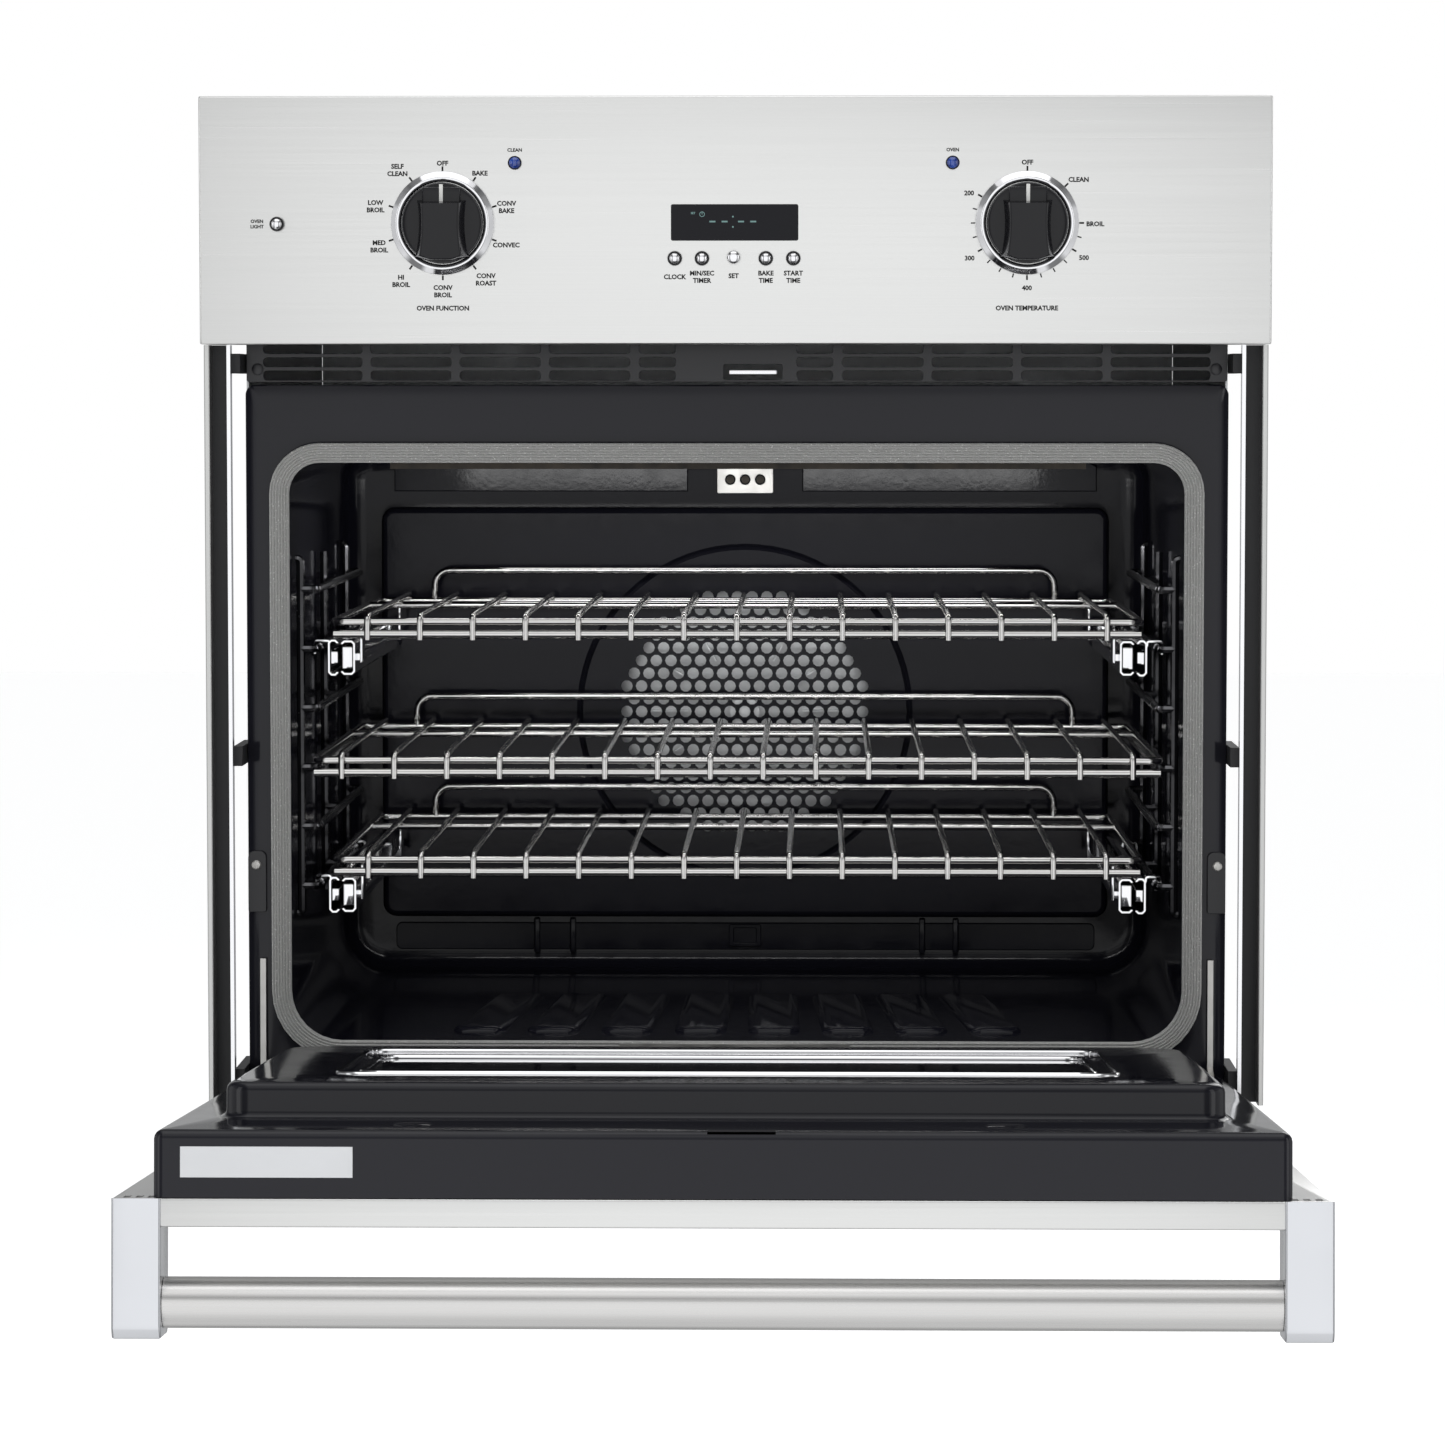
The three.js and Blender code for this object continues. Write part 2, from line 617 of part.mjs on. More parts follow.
function makeDoorSkin() {
  const { face, skin, bottom, top } = DOOR;
  const { halfWidth } = FRONT;
  const inner = face + skin;
  const flange = 40;
  const shell = cut(
    block([-halfWidth, halfWidth], [face, inner], [bottom, top]),
    block(
      [-halfWidth + SHEET, halfWidth - SHEET], [face + SHEET, inner - SHEET],
      [bottom + SHEET, top - SHEET],
    ),
    block(
      [-halfWidth + flange, halfWidth - flange], [inner - SHEET - 1, inner + 1],
      [bottom + flange, top - flange],
    ),
    block(
      [-WINDOW.half - 9, WINDOW.half + 9], [face - 1, face + SHEET + 1],
      [WINDOW.bottom - 9, WINDOW.top + 9],
    ),
  );
  add('door_skin', shell, STAINLESS, door);
  add('door_outer_glass', block(
    [-WINDOW.half - 18, WINDOW.half + 18],
    [face + SHEET + GAP, face + SHEET + GAP + 4],
    [WINDOW.bottom - 18, WINDOW.top + 18],
  ), GLASS, door);
}

// The enamelled liner has two tiers: a broad one on the skin and a plug that enters the mouth.
function makeDoorLiner() {
  const rear = DOOR.face + DOOR.skin + GAP;
  const t = PORCELAIN;
  const tier = (inset, from, to) => prism(roundedBox(
    [-TIER.half + inset, TIER.half - inset], [TIER.bottom + inset, TIER.top - inset], 5,
  ), 'y', from, to);
  const plug = (inset, from, to) => prism(roundedBox(
    [-PLUG.half + inset, PLUG.half - inset], [PLUG.bottom + inset, PLUG.top - inset],
    PLUG.lowerCorner, PLUG.corner,
  ), 'y', from, to);
  const window = block(
    [-WINDOW.half, WINDOW.half], [PLUG.inner - 3, PLUG.inner + 1], [WINDOW.bottom, WINDOW.top],
  );
  const notchHalf = ARM.thickness / 2 + 2.5;
  const notches = [-ARM.x, ARM.x].map((x) => block(
    [x - notchHalf, x + notchHalf], [-12, TIER.inner + 1], [TIER.bottom - 1, 26],
  ));
  const latchZ = LATCH.z - HINGE.z;
  const latchSlot = block(
    [LATCH.from - 4, LATCH.to + 4], [TIER.inner - 3, TIER.inner + 1], [latchZ - 4.5, latchZ + 4.5],
  );
  const liner = cut(
    join(tier(0, rear, TIER.inner), plug(0, TIER.inner - 0.5, PLUG.inner)),
    tier(t, rear - 1, TIER.inner - t),
    plug(t, TIER.inner - 2 * t, PLUG.inner - t),
    window, latchSlot, ...notches,
  );
  add('door_liner', liner, ENAMEL, door);
  add('door_inner_glass', block(
    [-WINDOW.half - 8, WINDOW.half + 8],
    [PLUG.inner - t - GAP - 4, PLUG.inner - t - GAP],
    [WINDOW.bottom - 8, WINDOW.top + 8],
  ), GLASS, door);
}

function makeHandle() {
  const { radius, y, z, endInset, reach } = HANDLE;
  const end = FRONT.halfWidth - endInset;
  add('handle_tube', rod('x', [y, z], radius, -end + GAP, end - GAP, 20), STAINLESS, door);
  const face = DOOR.face - GAP;
  const crown = DOOR.top + GAP;
  const profile = polygon([
    [face, z - 20], [face, crown], [DOOR.face + DOOR.skin, crown],
    [DOOR.face + DOOR.skin, crown + 1.7], [reach + 8, crown + 1.7], [reach, crown - 5],
    [reach, z - 14], [reach + 6, z - 20],
  ]);
  addPair(
    (hand) => `handle_${hand}_bracket`,
    prism(profile, 'x', end, FRONT.halfWidth), CASTING, door,
  );
}

// A hinge arm stands out of the frame on each side and ends at the hinge axis inside the liner.
function makeHingeArms() {
  const face = FRAME.y - GAP;
  const { y, z } = HINGE;
  const plate = prism(polygon([
    [face, z - 9], [face, z + 93], [face - 4, z + 93], [face - 6, z + 16], [y - 7, z + 6],
    [y - 7, z - 6], [y - 3, z - 9],
  ]), 'x', ARM.x - ARM.thickness / 2, ARM.x + ARM.thickness / 2);
  addPair((hand) => `${hand}_hinge_arm`, plate, CASTING);
}

makeCase();
makeTrimRails();
makeFrontFrame();
makeVentGrille();
makeCavity();
makeBaffle();
makeFan();
makeHeaters();
makeLadders();
makeRacks();
makeFascia();
makeControls();
makeKnobs();
makeDoorSkin();
makeDoorLiner();
makeHandle();
makeHingeArms();

export default oven;
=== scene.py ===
# %% [markdown]
# # A built-in wall oven, standing open
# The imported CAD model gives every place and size. This lesson builds the visible skin around it:
# brushed steel, gloss enamel, bright wire racks, a braided seal and the controls. Each piece is
# made in millimetres, then settled into the frame in metres.

# %% Load the fixed frame
import json
import math

import bmesh
import bpy
from mathutils import Matrix, Vector


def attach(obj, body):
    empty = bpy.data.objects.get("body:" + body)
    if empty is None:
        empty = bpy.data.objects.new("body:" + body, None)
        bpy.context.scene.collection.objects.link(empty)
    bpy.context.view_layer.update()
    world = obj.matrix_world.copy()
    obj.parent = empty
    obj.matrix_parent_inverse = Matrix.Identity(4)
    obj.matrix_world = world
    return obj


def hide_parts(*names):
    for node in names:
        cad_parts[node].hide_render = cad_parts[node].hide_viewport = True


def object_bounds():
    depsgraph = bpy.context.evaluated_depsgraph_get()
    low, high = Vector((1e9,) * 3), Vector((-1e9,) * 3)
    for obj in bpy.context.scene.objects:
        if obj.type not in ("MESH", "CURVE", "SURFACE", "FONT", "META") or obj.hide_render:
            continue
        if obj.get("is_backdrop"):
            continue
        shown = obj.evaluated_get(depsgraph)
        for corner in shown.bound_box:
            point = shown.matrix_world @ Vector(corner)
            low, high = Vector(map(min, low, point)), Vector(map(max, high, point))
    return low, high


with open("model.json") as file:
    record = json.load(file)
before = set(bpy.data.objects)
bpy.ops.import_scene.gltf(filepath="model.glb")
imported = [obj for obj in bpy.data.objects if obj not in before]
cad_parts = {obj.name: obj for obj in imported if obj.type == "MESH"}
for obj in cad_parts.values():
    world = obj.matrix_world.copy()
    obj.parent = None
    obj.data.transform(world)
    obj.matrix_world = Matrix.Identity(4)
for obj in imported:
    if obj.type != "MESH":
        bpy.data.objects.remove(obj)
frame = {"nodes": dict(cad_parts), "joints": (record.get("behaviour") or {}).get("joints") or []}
cad_low, cad_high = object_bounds()
NODES = frame["nodes"]
MM = 0.001
print("CAD box in metres", tuple(cad_low), tuple(cad_high))


# %% [markdown]
# ## Measuring the frame
# Sizes are read from the CAD nodes, so a piece always fits the part it stands for. The door is
# tilted at rest, so its nodes are measured after turning them back to the closed position.

# %% Boxes of nodes, and the door's own coordinates
def box(node, into=Matrix()):
    corners = [into @ (v.co / MM) for v in NODES[node].data.vertices]
    low = Vector(min(c[i] for c in corners) for i in range(3))
    high = Vector(max(c[i] for c in corners) for i in range(3))
    return low, high


hinge = next(j for j in frame["joints"] if j["name"] == "door_hinge")
OPEN_ANGLE = math.radians(-hinge["range_deg"][0])
DOOR = Matrix.Translation(Vector(hinge["pos_m"]) / MM) @ Matrix.Rotation(OPEN_ANGLE, 4, "X")
TO_DOOR = DOOR.inverted()
fascia_low, fascia_high = box("control_fascia")
FRONT_Y = fascia_low.y
print("door opens", round(math.degrees(OPEN_ANGLE), 1), "degrees; front plane at", FRONT_Y)


# %% [markdown]
# ## Camera, light and stage
# A long lens from a little above the middle of the oven, aimed slightly down. The world is plain
# white where the camera sees it and dimmer in reflections, so that black enamel stays deep and
# steel keeps some contrast.

# %% Camera
LENS = 125.1
EYE = Vector((0.0580, FRONT_Y * MM - 3.529, 0.5513))
AIM = Vector((-0.01883, 1.0, -0.06644))
camera = bpy.data.objects.new("camera", bpy.data.cameras.new("camera"))
camera.data.lens = LENS
camera.location = EYE
camera.rotation_euler = AIM.to_track_quat("-Z", "Y").to_euler()
bpy.context.scene.collection.objects.link(camera)
bpy.context.scene.camera = camera
bpy.context.scene.view_settings.view_transform = "Standard"

# %% World
WORLD_STRENGTH = 1.15
world = bpy.data.worlds.new("studio")
bpy.context.scene.world = world
world.use_nodes = True
sky = world.node_tree
sky.nodes.clear()
backdrop = sky.nodes.new("ShaderNodeBackground")
backdrop.inputs["Color"].default_value = (1, 1, 1, 1)
backdrop.inputs["Strength"].default_value = 1.0
reflected = sky.nodes.new("ShaderNodeBackground")
reflected.inputs["Strength"].default_value = WORLD_STRENGTH
direction = sky.nodes.new("ShaderNodeTexCoord")
axes = sky.nodes.new("ShaderNodeSeparateXYZ")
sky.links.new(direction.outputs["Generated"], axes.inputs[0])


def studio_ramp(axis, stops):
    """Brightness along one axis of the direction; the stops are (direction, brightness)."""
    shades = sky.nodes.new("ShaderNodeValToRGB")
    rise = sky.nodes.new("ShaderNodeMapRange")
    rise.inputs["From Min"].default_value = -1.0
    marks = shades.color_ramp.elements
    for place, shade in stops:
        mark = marks.new((place + 1) / 2)
        mark.color = (shade * 0.995, shade * 0.998, shade, 1)
    marks.remove(marks[0])
    marks.remove(marks[-1])
    sky.links.new(axis, rise.inputs["Value"])
    sky.links.new(rise.outputs["Result"], shades.inputs["Fac"])
    return shades.outputs["Color"]


def times(one, other):
    product = sky.nodes.new("ShaderNodeMix")
    product.data_type = "RGBA"
    product.blend_type = "MULTIPLY"
    product.inputs[0].default_value = 1.0
    sky.links.new(one, product.inputs[6])
    sky.links.new(other, product.inputs[7])
    return product.outputs[2]


heights = studio_ramp(axes.outputs["Z"], [
    (-0.98, 0.70), (-0.60, 0.95), (-0.10, 1.0), (0.30, 1.0), (0.40, 0.45), (0.62, 0.28),
    (0.78, 0.75), (0.98, 0.80),
])
widths = studio_ramp(axes.outputs["X"], [
    (-0.98, 0.55), (-0.80, 0.75), (-0.70, 0.20), (-0.50, 0.25), (-0.40, 1.0), (0.40, 1.0),
    (0.50, 0.25), (0.70, 0.20), (0.80, 0.75), (0.98, 0.55),
])
depths = studio_ramp(axes.outputs["Y"], [(-0.98, 1.0), (0.30, 1.0), (0.60, 0.42), (0.98, 0.42)])
sky.links.new(times(times(heights, widths), depths), reflected.inputs["Color"])
path = sky.nodes.new("ShaderNodeLightPath")
choose = sky.nodes.new("ShaderNodeMixShader")
out = sky.nodes.new("ShaderNodeOutputWorld")
sky.links.new(path.outputs["Is Camera Ray"], choose.inputs["Fac"])
sky.links.new(reflected.outputs[0], choose.inputs[1])
sky.links.new(backdrop.outputs[0], choose.inputs[2])
sky.links.new(choose.outputs[0], out.inputs["Surface"])
print("the world has", len(sky.nodes), "nodes")


# %% Soft boxes
def soft_box(name, place, target, width, height, power, seen=True):
    light = bpy.data.objects.new(name, bpy.data.lights.new(name, "AREA"))
    light.data.shape = "RECTANGLE"
    light.data.size = width
    light.data.size_y = height
    light.data.energy = power
    light.location = place
    light.visible_camera = seen
    aim = Vector(target) - Vector(place)
    light.rotation_euler = aim.to_track_quat("-Z", "Y").to_euler()
    bpy.context.scene.collection.objects.link(light)


soft_box("key_box", (-0.6, -3.0, 2.6), (0, -0.3, 0.4), 2.4, 1.6, 4)
soft_box("top_box", (0, -0.9, 2.6), (0, -0.4, 0.3), 2.6, 1.6, 9)
soft_box("left_box", (-2.4, -1.6, 0.9), (0, -0.3, 0.4), 0.8, 2.0, 5)
soft_box("right_box", (2.4, -1.6, 0.9), (0, -0.3, 0.4), 0.8, 2.0, 5)
soft_box("cavity_front_box", (0, -0.20, 0.485), (0, 0.10, 0.25), 0.5, 0.04, 0.55, seen=False)
soft_box("cavity_back_box", (0, 0.10, 0.487), (0, -0.10, 0.20), 0.4, 0.03, 0.15, seen=False)
soft_box("back_box", (1.6, 2.6, 1.8), (0, 0.1, 0.4), 1.8, 1.8, 24)

# %% Stage
FLOOR_DROP = 0.42
floor_bm = bmesh.new()
bmesh.ops.create_grid(floor_bm, x_segments=1, y_segments=1, size=14)
floor_mesh = bpy.data.meshes.new("studio_floor")
floor_bm.to_mesh(floor_mesh)
floor_bm.free()
studio_floor = bpy.data.objects.new("studio_floor", floor_mesh)
studio_floor.location.z = cad_low.z - FLOOR_DROP
bpy.context.scene.collection.objects.link(studio_floor)
floor_look = bpy.data.materials.new("studio_floor")
floor_look.use_nodes = True
floor_shader = floor_look.node_tree.nodes["Principled BSDF"]
floor_shader.inputs["Base Color"].default_value = (0.93, 0.93, 0.93, 1)
floor_shader.inputs["Roughness"].default_value = 0.9
floor_shader.inputs["Emission Color"].default_value = (1, 1, 1, 1)
floor_shader.inputs["Emission Strength"].default_value = 0.55
floor_mesh.materials.append(floor_look)
studio_floor.visible_glossy = False
studio_floor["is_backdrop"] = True


# %% [markdown]
# ## Finishes
# Every finish is a small node group on Object coordinates: a noise that is stretched along the
# grain for brushed steel, a fine orange peel for enamel, cells for galvanised sheet. Numbers that
# are the same all over sit on the shader's own sockets.

# %% A finish with a noise that drives roughness and bump
def finish(name, colour, metallic=0.0, roughness=0.4, **sockets):
    look = bpy.data.materials.new(name)
    look.use_nodes = True
    shader = look.node_tree.nodes["Principled BSDF"]
    shader.inputs["Base Color"].default_value = (*colour, 1)
    shader.inputs["Metallic"].default_value = metallic
    shader.inputs["Roughness"].default_value = roughness
    for socket, value in sockets.items():
        shader.inputs[socket.replace("_", " ")].default_value = value
    return look


def noise_of(look, scale, detail=3.0, kind="ShaderNodeTexNoise", spots=False):
    tree = look.node_tree
    coordinates = tree.nodes.new("ShaderNodeTexCoord")
    mapping = tree.nodes.new("ShaderNodeMapping")
    mapping.inputs["Scale"].default_value = scale
    texture = tree.nodes.new(kind)
    texture.inputs["Scale"].default_value = 1.0
    if "Detail" in texture.inputs:
        texture.inputs["Detail"].default_value = detail
    tree.links.new(coordinates.outputs["Object"], mapping.inputs["Vector"])
    tree.links.new(mapping.outputs["Vector"], texture.inputs["Vector"])
    return texture.outputs[0 if spots else 1]


def spread(look, value, low, high):
    """Makes the roughness wander between two values."""
    tree = look.node_tree
    span = tree.nodes.new("ShaderNodeMapRange")
    span.inputs["From Min"].default_value = 0.3
    span.inputs["From Max"].default_value = 0.7
    span.inputs["To Min"].default_value = low
    span.inputs["To Max"].default_value = high
    tree.links.new(value, span.inputs["Value"])
    tree.links.new(span.outputs["Result"], tree.nodes["Principled BSDF"].inputs["Roughness"])


def tint(look, value, dark, light):
    tree = look.node_tree
    ramp = tree.nodes.new("ShaderNodeValToRGB")
    ramp.color_ramp.elements[0].position = 0.3
    ramp.color_ramp.elements[0].color = (*dark, 1)
    ramp.color_ramp.elements[1].position = 0.7
    ramp.color_ramp.elements[1].color = (*light, 1)
    tree.links.new(value, ramp.inputs["Fac"])
    tree.links.new(ramp.outputs["Color"], tree.nodes["Principled BSDF"].inputs["Base Color"])


def relief(look, value, strength, distance):
    tree = look.node_tree
    bump = tree.nodes.new("ShaderNodeBump")
    bump.inputs["Strength"].default_value = strength
    bump.inputs["Distance"].default_value = distance
    tree.links.new(value, bump.inputs["Height"])
    tree.links.new(bump.outputs["Normal"], tree.nodes["Principled BSDF"].inputs["Normal"])


# %% [markdown]
# ### Steel
# Brushed stainless is scratched one way, so its noise is long along the grain and very fine
# across it. The racks are nickel bright, and the brackets are a softly polished casting.

# %% Steel finishes
def brushed(name, colour, grain, roughness=(0.26, 0.40)):
    look = finish(name, colour, metallic=1.0)
    stretch = {"X": (4, 900, 900), "Z": (900, 900, 4)}[grain]
    streaks = noise_of(look, stretch, detail=4.0)
    spread(look, streaks, *roughness)
    tint(look, streaks, tuple(c * 0.92 for c in colour), colour)
    relief(look, streaks, 0.10, 0.0002)
    return look


STAINLESS = brushed("brushed_stainless", (0.80, 0.80, 0.79), "X")
STAINLESS_UPRIGHT = brushed("brushed_stainless_upright", (0.62, 0.62, 0.61), "Z")
TUBE_STEEL = brushed("handle_tube_steel", (0.70, 0.69, 0.68), "X", (0.20, 0.32))

CHROME = finish("bright_chrome", (0.86, 0.86, 0.88), metallic=1.0)
spread(CHROME, noise_of(CHROME, (40, 40, 40)), 0.05, 0.12)

RACK_WIRE = finish("nickel_wire", (0.66, 0.65, 0.64), metallic=1.0)
spread(RACK_WIRE, noise_of(RACK_WIRE, (120, 120, 120)), 0.10, 0.20)
relief(RACK_WIRE, noise_of(RACK_WIRE, (300, 300, 300)), 0.05, 0.0003)

# The ladders are the racks' nickel with painted shade: the colour is darkened to 0.17 so that the posts along
# the shaded side walls stay dark.
SHADED_LADDER_WIRE = finish("smoked_nickel", (0.17, 0.17, 0.18), metallic=1.0)
spread(SHADED_LADDER_WIRE, noise_of(SHADED_LADDER_WIRE, (120, 120, 120)), 0.12, 0.28)

CASTING = finish("polished_casting", (0.69, 0.70, 0.73), metallic=1.0)
spread(CASTING, noise_of(CASTING, (25, 25, 25)), 0.13, 0.24)
relief(CASTING, noise_of(CASTING, (18, 18, 18), detail=1.0), 0.05, 0.002)

GALVANISED = finish("galvanised_sheet", (0.60, 0.62, 0.63), metallic=0.9)
cells = noise_of(GALVANISED, (45, 45, 45), kind="ShaderNodeTexVoronoi")
spread(GALVANISED, cells, 0.36, 0.48)
tint(GALVANISED, cells, (0.60, 0.61, 0.62), (0.68, 0.69, 0.70))

HINGE_STEEL = finish("hinge_steel", (0.56, 0.55, 0.53), metallic=1.0)
spread(HINGE_STEEL, noise_of(HINGE_STEEL, (90, 90, 90)), 0.28, 0.45)

# %% [markdown]
# ### Enamel, paint, glass and print
# Porcelain enamel is glass on steel: near black with a clear reflection and a faint orange peel.
# The latch grille is a flatter black paint, and the heaters are dull and oxidised.

# %% Dark finishes
ENAMEL = finish("black_enamel", (0.012, 0.012, 0.017), roughness=0.1, IOR=1.36)
spread(ENAMEL, noise_of(ENAMEL, (30, 30, 30)), 0.07, 0.13)
relief(ENAMEL, noise_of(ENAMEL, (160, 160, 160), detail=2.0), 0.035, 0.0005)

CAVITY_ENAMEL = finish("speckled_enamel", (0.009, 0.009, 0.014), roughness=0.18, IOR=1.29)
spread(CAVITY_ENAMEL, noise_of(CAVITY_ENAMEL, (60, 60, 60)), 0.08, 0.16)
relief(CAVITY_ENAMEL, noise_of(CAVITY_ENAMEL, (260, 260, 260), detail=2.0), 0.09, 0.0006)

BLACK_PAINT = finish("satin_black_paint", (0.016, 0.016, 0.019), roughness=0.35)
relief(BLACK_PAINT, noise_of(BLACK_PAINT, (500, 500, 500)), 0.12, 0.0003)

DARK_STRIP = finish("rail_black_strip", (0.012, 0.012, 0.014), roughness=0.5)
relief(DARK_STRIP, noise_of(DARK_STRIP, (400, 400, 400)), 0.1, 0.0002)

HEATER = finish("oxidised_sheath", (0.055, 0.048, 0.042), metallic=0.5, roughness=0.5)
tint(HEATER, noise_of(HEATER, (70, 70, 70)), (0.03, 0.028, 0.026), (0.085, 0.07, 0.055))

KNOB_BLACK = finish("knob_black", (0.010, 0.010, 0.012), roughness=0.14, IOR=1.36)
relief(KNOB_BLACK, noise_of(KNOB_BLACK, (700, 700, 700)), 0.03, 0.0002)

DISPLAY_BLACK = finish("display_window", (0.006, 0.006, 0.009), roughness=0.08, IOR=1.28)
spread(DISPLAY_BLACK, noise_of(DISPLAY_BLACK, (20, 20, 20)), 0.05, 0.10)

SMOKED_GLASS = finish("smoked_glass", (0.012, 0.012, 0.015), roughness=0.03, IOR=1.52)
spread(SMOKED_GLASS, noise_of(SMOKED_GLASS, (9, 9, 9)), 0.02, 0.05)

PRINT = finish("black_print", (0.006, 0.006, 0.006), roughness=0.6, Specular_IOR_Level=0.2)
spread(PRINT, noise_of(PRINT, (800, 800, 800)), 0.45, 0.65)

WHITE_LINE = finish("pointer_white", (0.80, 0.80, 0.78), roughness=0.4)
spread(WHITE_LINE, noise_of(WHITE_LINE, (600, 600, 600)), 0.35, 0.5)

BLANK_LABEL = finish("blank_foil_label", (0.74, 0.75, 0.77), metallic=0.25, roughness=0.35)
spread(BLANK_LABEL, noise_of(BLANK_LABEL, (25, 25, 60)), 0.3, 0.45)

BLUE_LENS = finish("blue_lens", (0.015, 0.05, 0.38), roughness=0.06, Coat_Weight=1.0)
tint(BLUE_LENS, noise_of(BLUE_LENS, (160, 160, 160), detail=1.0), (0.004, 0.012, 0.13), (0.02, 0.08, 0.44))

TEAL_GLOW = finish(
    "display_segments", (0.02, 0.05, 0.05), roughness=0.3, Emission_Color=(0.35, 0.62, 0.60, 1),
    Emission_Strength=0.35,
)


# %% [markdown]
# ## Making pieces
# A piece starts as a bmesh or a curve in millimetres. `settle` shades it, scales it to metres,
# rides it on its body and hides the CAD nodes it stands for.

# %% Settle a finished shape into the frame
SHARP = math.radians(38)


def settle(name, mesh, looks, body="oven_body", replaces=(), place=Matrix()):
    mesh.transform(Matrix.Scale(MM, 4) @ place)
    if place.determinant() < 0:
        mesh.flip_normals()
    for look in looks if isinstance(looks, (list, tuple)) else [looks]:
        mesh.materials.append(look)
    mesh.shade_smooth()
    mesh.set_sharp_from_angle(angle=SHARP)
    mesh.name = name
    thing = bpy.data.objects.new(name, mesh)
    bpy.context.scene.collection.objects.link(thing)
    print(name, "has", len(mesh.polygons), "faces and rides on", body)
    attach(thing, body)
    if replaces:
        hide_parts(*replaces)
    return thing


def to_mesh(bm):
    bmesh.ops.recalc_face_normals(bm, faces=bm.faces)
    mesh = bpy.data.meshes.new("piece")
    bm.to_mesh(mesh)
    bm.free()
    return mesh


# %% Blocks with rounded edges
def block(bm, low, high, radius=0.0, segments=2):
    """Adds a box whose edges may be rounded."""
    made = bmesh.ops.create_cube(bm, size=1)["verts"]
    size = [h - l for l, h in zip(low, high)]
    middle = [(l + h) / 2 for l, h in zip(low, high)]
    bmesh.ops.scale(bm, vec=size, verts=made)
    bmesh.ops.translate(bm, vec=middle, verts=made)
    if radius:
        chosen = list(dict.fromkeys(e for v in made for e in v.link_edges))
        bmesh.ops.bevel(
            bm, geom=chosen, offset=radius, segments=segments, profile=0.5,
            affect="EDGES", material=-1, offset_type="OFFSET", clamp_overlap=True,
        )
    return bm


# %% Outlines with round corners
def arc(centre, radius, start, end, steps):
    turn = [math.radians(start + (end - start) * i / steps) for i in range(steps + 1)]
    return [(centre[0] + radius * math.cos(t), centre[1] + radius * math.sin(t)) for t in turn]


def rounded(low, high, lower, upper=None, steps=8):
    """A rectangle's outline, anticlockwise, with its own radius for lower and upper corners."""
    upper = lower if upper is None else upper
    (x0, z0), (x1, z1) = low, high
    return (
        arc((x1 - lower, z0 + lower), lower, -90, 0, steps)
        + arc((x1 - upper, z1 - upper), upper, 0, 90, steps)
        + arc((x0 + upper, z1 - upper), upper, 90, 180, steps)
        + arc((x0 + lower, z0 + lower), lower, 180, 270, steps)
    )


def circle(centre, radius, steps=16):
    return arc(centre, radius, 0, 360, steps)[:-1]


def bend(points, radius, steps=4):
    """Rounds the inner corners of a 3-D path."""
    points = [Vector(p) for p in points]
    path = [points[0]]
    for before, corner, after in zip(points, points[1:], points[2:]):
        into = (before - corner).normalized()
        away = (after - corner).normalized()
        reach = radius / math.tan(into.angle(away) / 2)
        centre = corner + (into + away).normalized() * radius / math.sin(into.angle(away) / 2)
        start, end = corner + into * reach - centre, corner + away * reach - centre
        sweep = start.angle(end)
        for i in range(steps + 1):
            a, b = math.sin(sweep * (1 - i / steps)), math.sin(sweep * i / steps)
            path.append(centre + (start * a + end * b) / math.sin(sweep))
    return path + [points[-1]]


def offsets_of(path, width):
    """For each point of a flat path, the step of that width at right angles to the path."""
    steps = []
    for i in range(len(path)):
        a, b = Vector(path[max(i - 1, 0)]), Vector(path[min(i + 1, len(path) - 1)])
        way = (b - a).normalized()
        steps.append((-way.y * width, way.x * width))
    return steps


# %% Flat plates and wires from curves
FACE_FRONT = Matrix.Rotation(math.radians(90), 4, "X")


def curve_mesh(curve):
    holder = bpy.data.objects.new("curve", curve)
    bpy.context.scene.collection.objects.link(holder)
    bpy.context.view_layer.update()
    mesh = bpy.data.meshes.new_from_object(holder.evaluated_get(bpy.context.evaluated_depsgraph_get()))
    bpy.data.objects.remove(holder)
    bpy.data.curves.remove(curve)
    return mesh


def plate(outlines, thickness, front, edge=0.0, edge_steps=2):
    """A sheet standing up with holes; its outlines are in X and Z, its front face is at Y front."""
    curve = bpy.data.curves.new("plate", "CURVE")
    curve.dimensions = "2D"
    curve.fill_mode = "BOTH"
    curve.extrude = thickness / 2 - edge
    curve.bevel_depth = edge
    curve.bevel_resolution = edge_steps
    curve.offset = -edge
    for outline in outlines:
        spline = curve.splines.new("POLY")
        spline.points.add(len(outline) - 1)
        for point, (x, z) in zip(spline.points, outline):
            point.co = (x, z, 0, 1)
        spline.use_cyclic_u = True
    mesh = curve_mesh(curve)
    mesh.transform(Matrix.Translation((0, front + thickness / 2, 0)) @ FACE_FRONT)
    return mesh


def wires(paths, radius, ring=2):
    """Round wires along 3-D paths, as one mesh."""
    curve = bpy.data.curves.new("wires", "CURVE")
    curve.dimensions = "3D"
    curve.bevel_depth = radius
    curve.bevel_resolution = ring
    curve.use_fill_caps = True
    for path in paths:
        spline = curve.splines.new("POLY")
        spline.points.add(len(path) - 1)
        for point, place in zip(spline.points, path):
            point.co = (*place, 1)
    return curve_mesh(curve)


def merged(*meshes):
    """Several meshes as one; each keeps its place and the material numbers that `marked` gave it."""
    bm = bmesh.new()
    for mesh in meshes:
        bm.from_mesh(mesh)
        bpy.data.meshes.remove(mesh)
    whole = bpy.data.meshes.new("merged")
    bm.to_mesh(whole)
    bm.free()
    return whole


def marked(mesh, index):
    """Gives every face of a mesh the same material number."""
    for face in mesh.polygons:
        face.material_index = index
    return mesh


